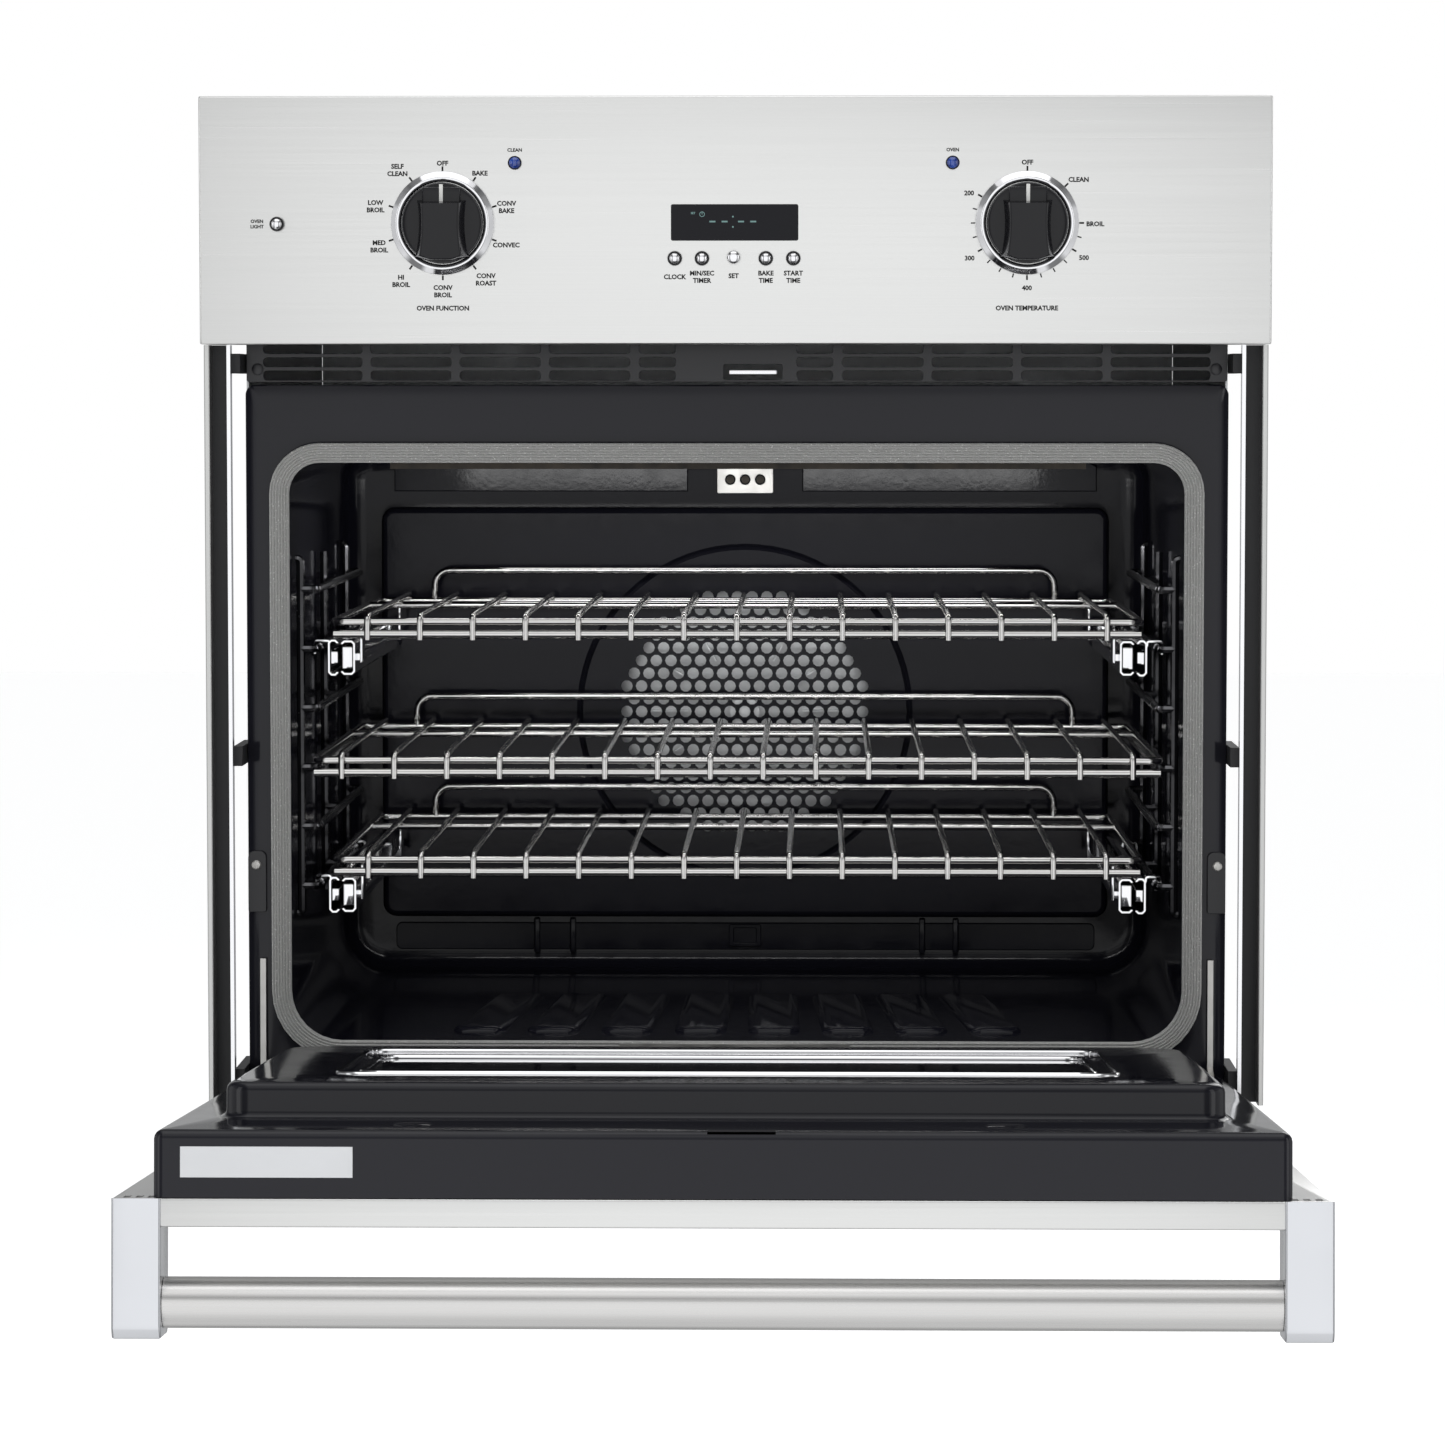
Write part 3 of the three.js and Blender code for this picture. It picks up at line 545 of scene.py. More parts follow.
# %% Turned pieces
def turned(profile, centre, steps=48):
    """A solid of revolution facing the front: the profile's points are (radius, distance out)."""
    bm = bmesh.new()
    ring = [bm.verts.new((r, -out, 0)) for r, out in profile]
    edges = [bm.edges.new(pair) for pair in zip(ring, ring[1:])]
    bmesh.ops.spin(
        bm, geom=ring + edges, cent=(0, 0, 0), axis=(0, 1, 0), angle=math.tau, steps=steps,
        use_merge=True,
    )
    bmesh.ops.remove_doubles(bm, verts=bm.verts, dist=0.001)
    bmesh.ops.translate(bm, vec=centre, verts=bm.verts)
    return to_mesh(bm)


# %% [markdown]
# ## The control fascia
# A folded stainless tray. Its edges are bent, not cut, so they carry a small radius that
# catches a line of light. The print on it is flat lettering a few hundredths proud.

# %% Fascia tray
SHEET = 1.5
tray = bmesh.new()
block(tray, fascia_low, fascia_high)
rear = [f for f in tray.faces if f.calc_center_median().y > fascia_high.y - 1]
bmesh.ops.delete(tray, geom=rear, context="FACES")
front_edges = [e for e in tray.edges if len(e.link_faces) == 2]
bmesh.ops.bevel(
    tray, geom=front_edges, offset=1.4, segments=3, profile=0.5, affect="EDGES", material=-1,
)
bmesh.ops.recalc_face_normals(tray, faces=tray.faces)
outward = max(tray.faces, key=lambda f: f.calc_area()).normal.y < 0
if not outward:
    bmesh.ops.reverse_faces(tray, faces=tray.faces)
bmesh.ops.solidify(tray, geom=tray.faces[:], thickness=SHEET)
settle("fascia_tray", to_mesh(tray), STAINLESS, replaces=["control_fascia"])


# %% [markdown]
# ## Print on the fascia
# Words round a dial sit on a circle that is a little wider for two-line words. All the lettering
# is generic: what an oven's knobs and buttons do.

# %% Lettering
CAP = 4.55
LINE = 5.1
PROUD = 0.12


def letters(text, x, z, size=CAP, front=None):
    """A line of print centred on a point of the fascia."""
    curve = bpy.data.curves.new("print", "FONT")
    curve.body = text
    curve.size = size
    curve.align_x = "CENTER"
    curve.align_y = "CENTER"
    curve.extrude = 0.03
    curve.offset = size * 0.036
    curve.resolution_u = 2
    mesh = curve_mesh(curve)
    mesh.transform(Matrix.Translation((x, FRONT_Y - (front or PROUD), z)) @ FACE_FRONT)
    return mesh


def lines(text, x, z, size=CAP, pitch=LINE):
    rows = text.split("|")
    top = z + pitch * (len(rows) - 1) / 2
    return [letters(row, x, top - pitch * i, size) for i, row in enumerate(rows)]


def tick(centre, angle, inner, outer, width=0.9):
    bm = bmesh.new()
    block(bm, (-width / 2, -0.06, inner), (width / 2, 0, outer))
    turn = Matrix.Rotation(math.radians(angle), 4, "Y")
    bmesh.ops.transform(bm, matrix=turn, verts=bm.verts)
    bmesh.ops.translate(bm, vec=(centre[0], FRONT_Y - 0.06, centre[1]), verts=bm.verts)
    return to_mesh(bm)


def centre_of(node):
    low, high = box(node)
    return (low + high) / 2


def dial_print(knob, words, ticks, caption):
    """Words and ticks round a knob; a word has its angle clockwise from the top and its reach."""
    middle = centre_of(knob)
    x, z = middle.x, middle.z
    made = []
    for angle, word, reach in words:
        t = math.radians(angle)
        made += lines(word, x + reach * math.sin(t), z + reach * math.cos(t))
    for angle, long in ticks:
        made.append(tick((x, z), angle, 36.3, 39.6 if long else 39.2, 1.25 if long else 0.9))
    return made + lines(caption, x, z - 59.3)


FUNCTIONS = [
    (0, "OFF", 41.6), (37, "BAKE", 43.4), (76, "CONV|BAKE", 46.0), (109, "CONVEC", 47.0),
    (142.5, "CONV|ROAST", 49.5), (180, "CONV|BROIL", 47.5), (216, "HI|BROIL", 49.8),
    (250, "MED|BROIL", 47.4), (284, "LOW|BROIL", 48.4), (319.5, "SELF|CLEAN", 48.5),
]
function_ticks = [(36 * i, True) for i in range(len(FUNCTIONS))]
temperature_words = [
    (0, "OFF", 42.0), (50, "CLEAN", 46.6), (91, "BROIL", 47.4), (121.5, "500", 46.5),
    (180, "400", 45.3), (238.5, "300", 47.0), (297, "200", 45.5),
]
degree_ticks = [(angle, angle in (120, 180, 240, 300)) for angle in range(105, 301, 15)]
temperature_ticks = [(0, True), (46, True), (90, True)] + degree_ticks
printed = dial_print("function_knob", FUNCTIONS, function_ticks, "OVEN FUNCTION")
printed += dial_print("temperature_knob", temperature_words, temperature_ticks, "OVEN TEMPERATURE")

BUTTON_WORDS = {
    "clock_button": "CLOCK", "timer_button": "MIN/SEC|TIMER", "set_button": "SET",
    "bake_time_button": "BAKE|TIME", "start_time_button": "START|TIME",
}
for button, word in BUTTON_WORDS.items():
    middle = centre_of(button)
    printed += lines(word, middle.x, middle.z - 13.0)
small = 3.3
light = centre_of("light_button")
printed += lines("OVEN|LIGHT", light.x - 14, light.z, small, 3.7)
for lamp, word in (("clean_indicator", "CLEAN"), ("oven_indicator", "OVEN")):
    middle = centre_of(lamp)
    printed += lines(word, middle.x, middle.z + 8.8, small)
settle("fascia_print", merged(*printed), PRINT)


# %% [markdown]
# ## Knobs and bezels
# A black grip stands in a chromed ring. The grip's sides are hollow like an hourglass, its face
# is dished a little, and the top end is cut away to a flat with a white pointer line.

# %% Bezels
BEZEL = [
    (28.8, 0.2), (36.0, 0.2), (36.0, 3.4), (35.7, 3.9), (33.0, 5.0), (32.7, 5.5), (32.1, 5.9),
    (31.4, 6.0), (30.2, 5.8), (29.4, 5.0), (28.8, 3.8), (28.8, 0.2),
]
for name in ("function_bezel", "temperature_bezel"):
    middle = centre_of(name)
    bezel = turned(BEZEL, (middle.x, FRONT_Y, middle.z), 72)
    settle(name + "_ring", bezel, CHROME, replaces=[name])

# %% Knobs
KNOB_RADIUS = 28.2
KNOB_DISC = [
    (0, 1.2), (KNOB_RADIUS, 1.2), (KNOB_RADIUS, 7.2), (27.4, 8.6), (25.6, 9.2), (18, 9.6), (0, 9.6),
]
GRIP = {"half_end": 18.6, "half_waist": 16.2, "reach": 23.4, "front": 27.0, "back": 8.0}


def grip_outline(inset):
    """An hourglass with round ends, seen from the front."""
    steps = 10
    right, left = [], []
    top = GRIP["reach"] - inset
    for i in range(steps + 1):
        z = -top + 2 * top * i / steps
        waist = GRIP["half_waist"] - inset
        x = waist + (GRIP["half_end"] - GRIP["half_waist"]) * (z / top) ** 2
        right.append((x, z))
        left.append((-x, z))
    bow = [(GRIP["half_end"] * 0.5, top + 2.4), (-GRIP["half_end"] * 0.5, top + 2.4)]
    return right + bow + left[::-1] + [(x, -z) for x, z in bow][::-1]


def make_knob(name):
    middle = centre_of(name.replace("_knob", "_bezel"))
    disc = marked(turned(KNOB_DISC, (0, 0, 0), 64), 0)
    grip = bmesh.new()
    outline = [grip.verts.new((x, -GRIP["back"], z)) for x, z in grip_outline(0)]
    base = grip.faces.new(outline)
    raised = bmesh.ops.extrude_face_region(grip, geom=[base])["geom"]
    top_verts = [v for v in raised if isinstance(v, bmesh.types.BMVert)]
    depth = GRIP["front"] - GRIP["back"]
    bmesh.ops.translate(grip, vec=(0, -depth, 0), verts=top_verts)
    bmesh.ops.scale(grip, vec=(0.78, 1, 1.0), verts=top_verts)
    rim = [e for e in grip.edges if all(v in top_verts for v in e.verts)]
    bmesh.ops.bevel(
        grip, geom=rim, offset=1.1, segments=3, profile=0.5, affect="EDGES", material=-1,
    )
    # the pointer end is sloped back to the disc
    cut = bmesh.ops.bisect_plane(
        grip, geom=grip.verts[:] + grip.edges[:] + grip.faces[:], plane_co=(0, -24, 13.5),
        plane_no=(0, -0.15, 1), clear_outer=True,
    )
    open_edges = [e for e in cut["geom_cut"] if isinstance(e, bmesh.types.BMEdge)]
    bmesh.ops.holes_fill(grip, edges=open_edges)
    grip_mesh = marked(to_mesh(grip), 0)
    ledge = bmesh.new()
    block(ledge, (-13.2, -15.2, 8), (13.2, -9, 24.6), 0.8, 2)
    ledge_mesh = marked(to_mesh(ledge), 0)
    pointer = bmesh.new()
    block(pointer, (-1.3, -15.5, 13.5), (1.3, -15.0, 26.6), 0.15, 1)
    pointer_mesh = marked(to_mesh(pointer), 1)
    whole = merged(disc, grip_mesh, ledge_mesh, pointer_mesh)
    settle(
        name + "_cap", whole, [KNOB_BLACK, WHITE_LINE], body=name + "_body", replaces=[name],
        place=Matrix.Translation((middle.x, FRONT_Y, middle.z)),
    )


make_knob("function_knob")
make_knob("temperature_knob")

# %% [markdown]
# ## Buttons, lamps and the clock window
# The buttons are small spun-metal domes in a black ring. The set button is larger. The clock's
# window is a slab of dark acrylic with faint segments behind its face.

# %% Buttons
BUTTONS = [j["name"].replace("_press", "") for j in frame["joints"] if j["name"].endswith("_press")]
rings = []
for button in BUTTONS:
    low, high = box(button)
    radius = (high.x - low.x) / 2
    x, z = (low.x + high.x) / 2, (low.z + high.z) / 2
    out = FRONT_Y - low.y
    dome = [
        (0, 2.2), (radius - 1.2, 2.2), (radius - 1.1, 3.4), (radius - 1.5, out - 1.3),
        (radius - 2.4, out - 0.5), (radius - 3.4, out - 0.1), (0, out),
    ]
    settle(button + "_dome", turned(dome, (x, FRONT_Y, z), 32), CHROME, body=button + "_body",
           replaces=[button])
    well = [
        (radius - 1.1, 0.1), (radius + 0.2, 0.1), (radius + 0.2, 2.0), (radius - 0.2, 2.8),
        (radius - 0.8, 2.8), (radius - 1.1, 2.2), (radius - 1.1, 0.1),
    ]
    if button != "set_button":
        rings.append(turned(well, (x, FRONT_Y, z), 32))
settle("button_rings", merged(*rings), KNOB_BLACK)

# %% Indicator lamps
for lamp in ("clean_indicator", "oven_indicator"):
    low, high = box(lamp)
    middle = centre_of(lamp)
    radius = (high.x - low.x) / 2
    dome = [(radius - 0.7) * math.sin(math.radians(a)) for a in range(90, -1, -15)]
    rise = [0.6 + 3.2 * math.cos(math.radians(a)) for a in range(90, -1, -15)]
    lens = turned([(0, 0.3), (radius - 0.7, 0.3)] + list(zip(dome, rise)),
                  (middle.x, FRONT_Y, middle.z), 32)
    settle(lamp + "_lens", lens, BLUE_LENS, replaces=[lamp])
    rim = [(radius - 0.7, 0.1), (radius, 0.1), (radius, 1.0), (radius - 0.7, 1.2), (radius - 0.7, 0.1)]
    settle(lamp + "_rim", turned(rim, (middle.x, FRONT_Y, middle.z), 32), KNOB_BLACK)

# %% Clock window
module_low, module_high = box("clock_module")
WINDOW_HALF = (44.5, 12.7)
window_z = 668.0
window = plate([rounded((-WINDOW_HALF[0], window_z - WINDOW_HALF[1]),
                        (WINDOW_HALF[0], window_z + WINDOW_HALF[1]), 1.4)],
               2.0, FRONT_Y - 0.35, 0.25)
board = bmesh.new()
block(board, (module_low.x, FRONT_Y + 14, module_low.z), module_high, 0.6, 1)
settle("clock_window", merged(window, to_mesh(board)), DISPLAY_BLACK,
       replaces=["clock_module"])


def segment(x, z, width, height):
    bm = bmesh.new()
    block(bm, (x - width / 2, FRONT_Y - 0.40, z - height / 2), (x + width / 2, FRONT_Y - 0.3, z + height / 2))
    return to_mesh(bm)


segments = [segment(x, window_z + 0.6, 4.2, 1.1) for x in (-15.5, -7.0, 4.5, 13.0)]
segments += [segment(-1.2, window_z + dz, 1.1, 1.1) for dz in (4.0, -3.1)]
icon = circle((-22.7, window_z + 5.7), 1.9, 20)
segments.append(plate([icon, circle((-22.7, window_z + 5.7), 1.45, 20)], 0.1, FRONT_Y - 0.4))
segments.append(segment(-22.7, window_z + 6.3, 0.45, 1.6))
segments.append(letters("SET", -29.0, window_z + 6.4, 2.0, 0.42))
settle("clock_segments", merged(*segments), TEAL_GLOW)


# %% [markdown]
# ## Lofts, cuts and screws
# The enamelled shapes are pressed from one sheet, so they are lofted through rings that share
# one set of points. A real press leaves a radius at every fold, and each radius is a few rings.

# %% Loft and carve
def loft(rings, closed=False):
    """A skin through rings of equally many points; its ends are capped unless it closes on itself."""
    bm = bmesh.new()
    loops = [[bm.verts.new(p) for p in ring] for ring in rings]
    pairs = list(zip(loops, loops[1:])) + ([(loops[-1], loops[0])] if closed else [])
    for a, b in pairs:
        for i in range(len(a)):
            j = (i + 1) % len(a)
            bm.faces.new((a[i], a[j], b[j], b[i]))
    if not closed:
        bm.faces.new(loops[0])
        bm.faces.new(loops[-1])
    return to_mesh(bm)


def ring(low, high, y, grow, lower, upper=None, steps=6):
    """A round-cornered ring at depth y, grown outwards by some millimetres."""
    upper = lower if upper is None else upper
    a = (low[0] - grow, low[1] - grow)
    b = (high[0] + grow, high[1] + grow)
    outline = rounded(a, b, max(lower + grow, 0.6), max(upper + grow, 0.6), steps)
    return [(x, y, z) for x, z in outline]


def fillet(grow_from, y_from, grow_to, y_to, face_first=False, steps=4):
    """Points (grow, y) of a quarter turn that sets off along the face, or else along the wall."""
    made = []
    for i in range(steps + 1):
        t = math.radians(90 * i / steps)
        a, b = (1 - math.cos(t), math.sin(t)) if face_first else (math.sin(t), 1 - math.cos(t))
        made.append((grow_from + (grow_to - grow_from) * b, y_from + (y_to - y_from) * a))
    return made


def carve(mesh, *cutters):
    """Cuts solids out of a mesh."""
    base = bpy.data.objects.new("base", mesh)
    tool = bpy.data.objects.new("tool", merged(*cutters))
    for thing in (base, tool):
        bpy.context.scene.collection.objects.link(thing)
    cutting = base.modifiers.new("cut", "BOOLEAN")
    cutting.operation = "DIFFERENCE"
    cutting.solver = "EXACT"
    cutting.object = tool
    bpy.context.view_layer.update()
    result = bpy.data.meshes.new_from_object(base.evaluated_get(bpy.context.evaluated_depsgraph_get()))
    bpy.data.objects.remove(base)
    bpy.data.objects.remove(tool)
    return result


def brick(low, high, radius=0.0, segments=2):
    return to_mesh(block(bmesh.new(), low, high, radius, segments))


def repaint(names, look):
    """Gives CAD nodes that stay visible a better finish."""
    for node in names:
        NODES[node].data.materials.clear()
        NODES[node].data.materials.append(look)


def mirrored(side):
    return Matrix.Diagonal((side, 1, 1, 1))


HANDS = ((1, "right"), (-1, "left"))


FACING = {
    "front": Matrix(), "back": Matrix.Rotation(math.pi, 4, "Z"),
    "left": Matrix.Rotation(-math.pi / 2, 4, "Z"), "right": Matrix.Rotation(math.pi / 2, 4, "Z"),
    "up": Matrix.Rotation(-math.pi / 2, 4, "X"), "down": Matrix.Rotation(math.pi / 2, 4, "X"),
}


def screw(place, radius=3.6, facing="front", rise=2.0):
    """A pan head with a cross recess."""
    head = turned([(0, 0), (radius, 0), (radius, rise * 0.4), (radius * 0.75, rise * 0.85), (0, rise)],
                  (0, 0, 0), 14)
    slots = []
    for a, b in ((radius * 0.6, radius * 0.14), (radius * 0.14, radius * 0.6)):
        slots.append(brick((-a, -rise - 1, -b), (a, -rise * 0.55, b)))
    for cutter in slots:
        head = carve(head, cutter)
    head.transform(Matrix.Translation(place) @ FACING[facing])
    return head


# %% [markdown]
# ## Case and trim
# The case is galvanised sheet, spot-welded and screwed. It is never seen once the oven is in its
# cabinet. Two trim rails cover the cut edge of the cabinet: bright flange, dark seat, thin lip.

# %% Case finishes
repaint(["case_base", "case_left_panel", "case_right_panel", "case_back_panel", "case_top_panel",
         "fan_motor"], GALVANISED)
repaint(["function_switch", "thermostat"], BLACK_PAINT)
print("the case is galvanised, the switches are black")

# %% [markdown]
# Louvres let the hot air out of the sides. Each one is slit along its lower edge and pressed
# out by a punch. It could be a boolean of a half cylinder, but a loft of six small outlines
# gives the pinched ends with a few faces, which counts when there are dozens of them.

# %% A louvre of the case
def louvre(length, height, depth):
    """A pressed hood that stands out along -Y and is open below."""
    def hood(x, share):
        return [(x, 0, 0), (x, 0, height * share), (x, -depth * share * 0.6, height * share * 0.7),
                (x, -depth * share, 0)]
    half = length / 2
    return loft([hood(-half, 0.1), hood(4 - half, 0.8), hood(8 - half, 1), hood(half - 8, 1),
                 hood(half - 4, 0.8), hood(half, 0.1)])


# %% [markdown]
# The side sheets are hemmed: a strip is folded over along three edges and screwed through. A
# solidify of a bent sheet could make the fold, but thin rounded blocks that stand on the sheet
# read the same from outside. One hand is made, and a mirror matrix places the other.

# %% Sides of the case
SEAM_WIDTH, SEAM_RISE, SEAM_FRONT = 25, 1.0, -215
LOUVRE_PITCH, LOUVRE_FLOOR = 15, 600
side_low, side_high = box("case_right_panel")


def side_seams():
    """Louvres and the hems that fold over the case's lower, upper and rear edges."""
    face, rear = side_high.x, side_high.y - 1
    steel = []
    for row in range(7):
        for y in (-90, 0, 90):
            hood = louvre(64, 7, 4)
            place = Matrix.Translation((face - 0.2, y, LOUVRE_FLOOR + LOUVRE_PITCH * row))
            hood.transform(place @ FACING["right"])
            steel.append(hood)
    floor, roof = side_low.z + 1, side_high.z - 1
    for z in (floor, roof - SEAM_WIDTH):
        steel.append(brick((face - 0.3, SEAM_FRONT, z), (face + SEAM_RISE, rear, z + SEAM_WIDTH), 0.4, 2))
    steel.append(brick((face - 0.3, rear - 23, floor + SEAM_WIDTH + 1),
                       (face + SEAM_RISE, rear, roof - SEAM_WIDTH - 1), 0.4, 2))
    return merged(*steel)


def side_screws():
    face = side_high.x + 0.9
    places = [(y, z) for y in (-195, -80, 35, 150, 257) for z in (side_low.z + 13, side_high.z - 13)]
    places += [(257, z) for z in (190, 370, 550)]
    return merged(*[screw((face, y, z), facing="right") for y, z in places])


for side, hand in HANDS:
    settle(hand + "_case_seams", merged(marked(side_seams(), 0), marked(side_screws(), 1)),
           [GALVANISED, HINGE_STEEL], place=mirrored(side))

# %% [markdown]
# Four pressed beads stop the top sheet from drumming, and screws hold its front and rear edges.
# Each bead is a low block with round edges that stands out of the sheet.

# %% Top of the case
top_z = box("case_top_panel")[1].z
beads = [brick((x - 9, -150, top_z - 0.4), (x + 9, 190, top_z + 2.2), 2.0, 3)
         for x in (-210, -70, 70, 210)]
heads = [screw((x, y, top_z - 0.1), facing="up") for x in (-330, -165, 0, 165, 330) for y in (255, -240)]
settle("case_top_ribs", merged(marked(merged(*beads), 0), marked(merged(*heads), 1)),
       [GALVANISED, HINGE_STEEL])

# %% [markdown]
# The back sheet has a hole for the power conduit, with a black bush in it, and two groups of
# slits for cooling air. All the holes are outlines of one flat curve, which Blender fills
# between them, so no boolean is needed.

# %% Back of the case
BACK_SHEET, SCREW_INSET, INLET, INLET_RADIUS = 0.9, 11, (250, 690), 14
back_low, back_high = box("case_back_panel")
back_face = back_low.y + BACK_SHEET
corners = rounded((back_low.x, back_low.z), (back_high.x, back_high.z), 2.0, steps=3)
outlines = [corners, circle(INLET, INLET_RADIUS, 32)]
for x in (-170, 170):
    for row in range(9):
        z = 440 - 14 * row
        outlines.append(rounded((x - 70, z), (x + 70, z + 5), 2.4, steps=3))
back = plate(outlines, BACK_SHEET, back_low.y, 0.2, 1)
floor, roof = back_low.z + SCREW_INSET, back_high.z - SCREW_INSET
places = [(x, floor + (roof - floor) * i / 4) for i in range(5)
          for x in (back_low.x + SCREW_INSET, back_high.x - SCREW_INSET)]
places += [(x, z) for x in (-170, 0, 170) for z in (floor, roof)]
heads = [screw((x, back_face, z), facing="back", rise=0.58) for x, z in places]
bush = turned([
    (INLET_RADIUS, -0.6), (16.5, -0.6), (16.5, 0.3), (15.2, 0.55), (INLET_RADIUS, 0.3),
    (INLET_RADIUS, -0.6),
], (0, 0, 0), 40)
bush.transform(Matrix.Translation((INLET[0], back_face, INLET[1])) @ FACING["back"])
settle("case_back_sheet", merged(marked(back, 0), marked(merged(*heads), 1), marked(bush, 2)),
       [GALVANISED, HINGE_STEEL, BLACK_PAINT], replaces=["case_back_panel"])

# %% [markdown]
# A trim rail is three strips of sheet that run the height of the door. Each is one outline,
# extruded upwards. The clips that hold the rail to the case are small blocks.

# %% Trim rails
rail_low, rail_high = box("right_trim_rail")
FLANGE = 3.9
seat_y = fascia_high.y


def profile_bar(points, z0, z1):
    bm = bmesh.new()
    base = bm.faces.new([bm.verts.new((x, y, z0)) for x, y in points])
    raised = bmesh.ops.extrude_face_region(bm, geom=[base])["geom"]
    top = [v for v in raised if isinstance(v, bmesh.types.BMVert)]
    bmesh.ops.translate(bm, vec=(0, 0, z1 - z0), verts=top)
    return bm


rail_inner, rail_outer = 357.0, rail_high.x
step = rail_outer - FLANGE
front = fascia_low.y + 22
sheet = 1.5
LIP = 2.6
for side, hand in HANDS:
    flange = profile_bar([
        (step, seat_y - sheet), (step, front + 0.6), (step + 0.6, front), (rail_outer - 0.8, front),
        (rail_outer, front + 0.8), (rail_outer, seat_y), (rail_outer - sheet, seat_y),
        (rail_outer - sheet, front + sheet), (step + sheet, front + sheet),
        (step + sheet, seat_y - sheet),
    ], rail_low.z, rail_high.z)
    seat = profile_bar([
        (rail_inner + LIP, seat_y - sheet), (step + sheet, seat_y - sheet),
        (step + sheet, seat_y), (rail_inner + LIP, seat_y),
    ], rail_low.z, rail_high.z)
    lip = profile_bar([
        (rail_inner, seat_y - 11), (rail_inner + LIP, seat_y - 11), (rail_inner + LIP, seat_y),
        (rail_inner, seat_y),
    ], rail_low.z, rail_high.z)
    clips = [brick((351.0, seat_y - sheet, z - 7), (rail_inner + 1, -228, z + 7), 0.3, 1)
             for z in (60, 291, 570)]
    whole = merged(
        marked(to_mesh(flange), 0), marked(to_mesh(seat), 1), marked(to_mesh(lip), 2),
        *[marked(clip, 1) for clip in clips],
    )
    settle(hand + "_trim", whole, [STAINLESS_UPRIGHT, DARK_STRIP, CHROME],
           replaces=[hand + "_trim_rail"], place=mirrored(side))

# %% [markdown]
# ## Vent grille and latch
# Cooling air leaves between the fascia and the door through three rows of slots, and the latch
# slides out of its own slot to lock the door while the oven cleans itself.

# %% Grille
grille_low, grille_high = box("vent_grille")
ROWS = (561.6, 571.1, 580.6)
ROW_HALF = 3.4
SLOT, SLOT_PITCH, FIRST_SLOT = 57.6, 63.6, 75.5
columns = [(43, 69)]
for i in range(4):
    start = FIRST_SLOT + SLOT_PITCH * i
    columns.append((start, start + SLOT + (13 if i == 3 else 0)))
latch_low, latch_high = box("door_latch")
outlines = [rounded((grille_low.x, grille_low.z), (grille_high.x, grille_high.z), 2.0, 0.8)]
for z in ROWS:
    for a, b in columns:
        for x0, x1 in ((a, b), (-b, -a)):
            outlines.append(rounded((x0, z - ROW_HALF), (x1, z + ROW_HALF), 2.6, steps=3))
outlines.append(rounded((latch_low.x - 4, 558.6), (latch_high.x + 4, 569.6), 1.5, steps=3))
grille = plate(outlines, 1.4, grille_low.y, 0.3, 1)
fold = brick((grille_low.x, grille_low.y + 0.8, grille_high.z - 1.4),
             (grille_high.x, -269, grille_high.z), 0.3, 1)
plugs = [turned([(0, 0), (4.2, 0), (4.2, 1.0), (3.0, 1.7), (0, 1.7)], (x, grille_low.y, 566), 24)
         for x in (-341, 341)]
settle("vent_grille_plate", merged(grille, fold, *plugs), BLACK_PAINT,
       replaces=["vent_grille"])

# %% [markdown]
# The latch is a plain plated bolt. It rides on the latch's own body, so it slides alone.

# %% Latch
bolt = bmesh.new()
block(bolt, latch_low, latch_high, 0.5, 2)
settle("latch_bolt", to_mesh(bolt), CHROME, body="latch_body", replaces=["door_latch"])

# %% [markdown]
# ## Front frame and seal
# The enamelled frame is one pressed ring round the mouth. The seal is a braided sleeve round a
# wire coil. It reads as seven lengthwise ridges of fine stitches.

# %% Front frame
frame_low, frame_high = box("front_frame")
MOUTH_LOW, MOUTH_HIGH = (-319.5, 84.4), (319.5, 499.5)
MOUTH_LOWER, MOUTH_UPPER = 36, 22
F_LOW, F_HIGH = (frame_low.x, frame_low.z), (frame_high.x, frame_high.z)
FRAME_Y, FRAME_BACK = frame_low.y, frame_high.y


def mouth_ring(y, grow):
    return ring(MOUTH_LOW, MOUTH_HIGH, y, grow, MOUTH_LOWER, MOUTH_UPPER, 8)


def frame_ring(y, grow):
    return ring(F_LOW, F_HIGH, y, grow, 1.5, 7.0, 8)


rolled = [(0.0, FRAME_Y + 1.2), (0.35, FRAME_Y + 0.35), (1.2, FRAME_Y)]
rings = [frame_ring(FRAME_BACK, 0), frame_ring(FRAME_Y + 1.0, 0), frame_ring(FRAME_Y + 0.3, -0.3),
         frame_ring(FRAME_Y, -1.0)]
rings += [mouth_ring(y, grow) for grow, y in reversed(rolled)] + [mouth_ring(FRAME_BACK, 0)]
settle("front_frame_ring", loft(rings, closed=True), ENAMEL, replaces=["front_frame"])

# %% [markdown]
# A sweep along a path would pinch at the corners of the mouth. So the seal is a loft of rings
# round the mouth, one ring for each point of its ribbed section. The stitches are cells of a
# noise that set the colour and the bump together.

# %% Seal
gasket_low, gasket_high = box("door_gasket")
SEAL_HEIGHT = gasket_high.y - gasket_low.y
RIDGES = 7
RIDGE = 14 / RIDGES
section = [(0.2, 0.0), (0.0, SEAL_HEIGHT * 0.55)]
for i in range(RIDGES):
    dome = math.sin(math.pi * (i + 0.5) / RIDGES)
    crest = SEAL_HEIGHT * (0.86 + 0.13 * dome)
    section += [(RIDGE * (i + 0.18), crest - 0.6), (RIDGE * (i + 0.5), crest),
                (RIDGE * (i + 0.82), crest - 0.6)]
    if i < RIDGES - 1:
        section.append((RIDGE * (i + 1), crest - 1.6))
section += [(14.0, SEAL_HEIGHT * 0.55), (13.8, 0.0)]
seal_rings = [mouth_ring(gasket_high.y - out, grow) for grow, out in section]
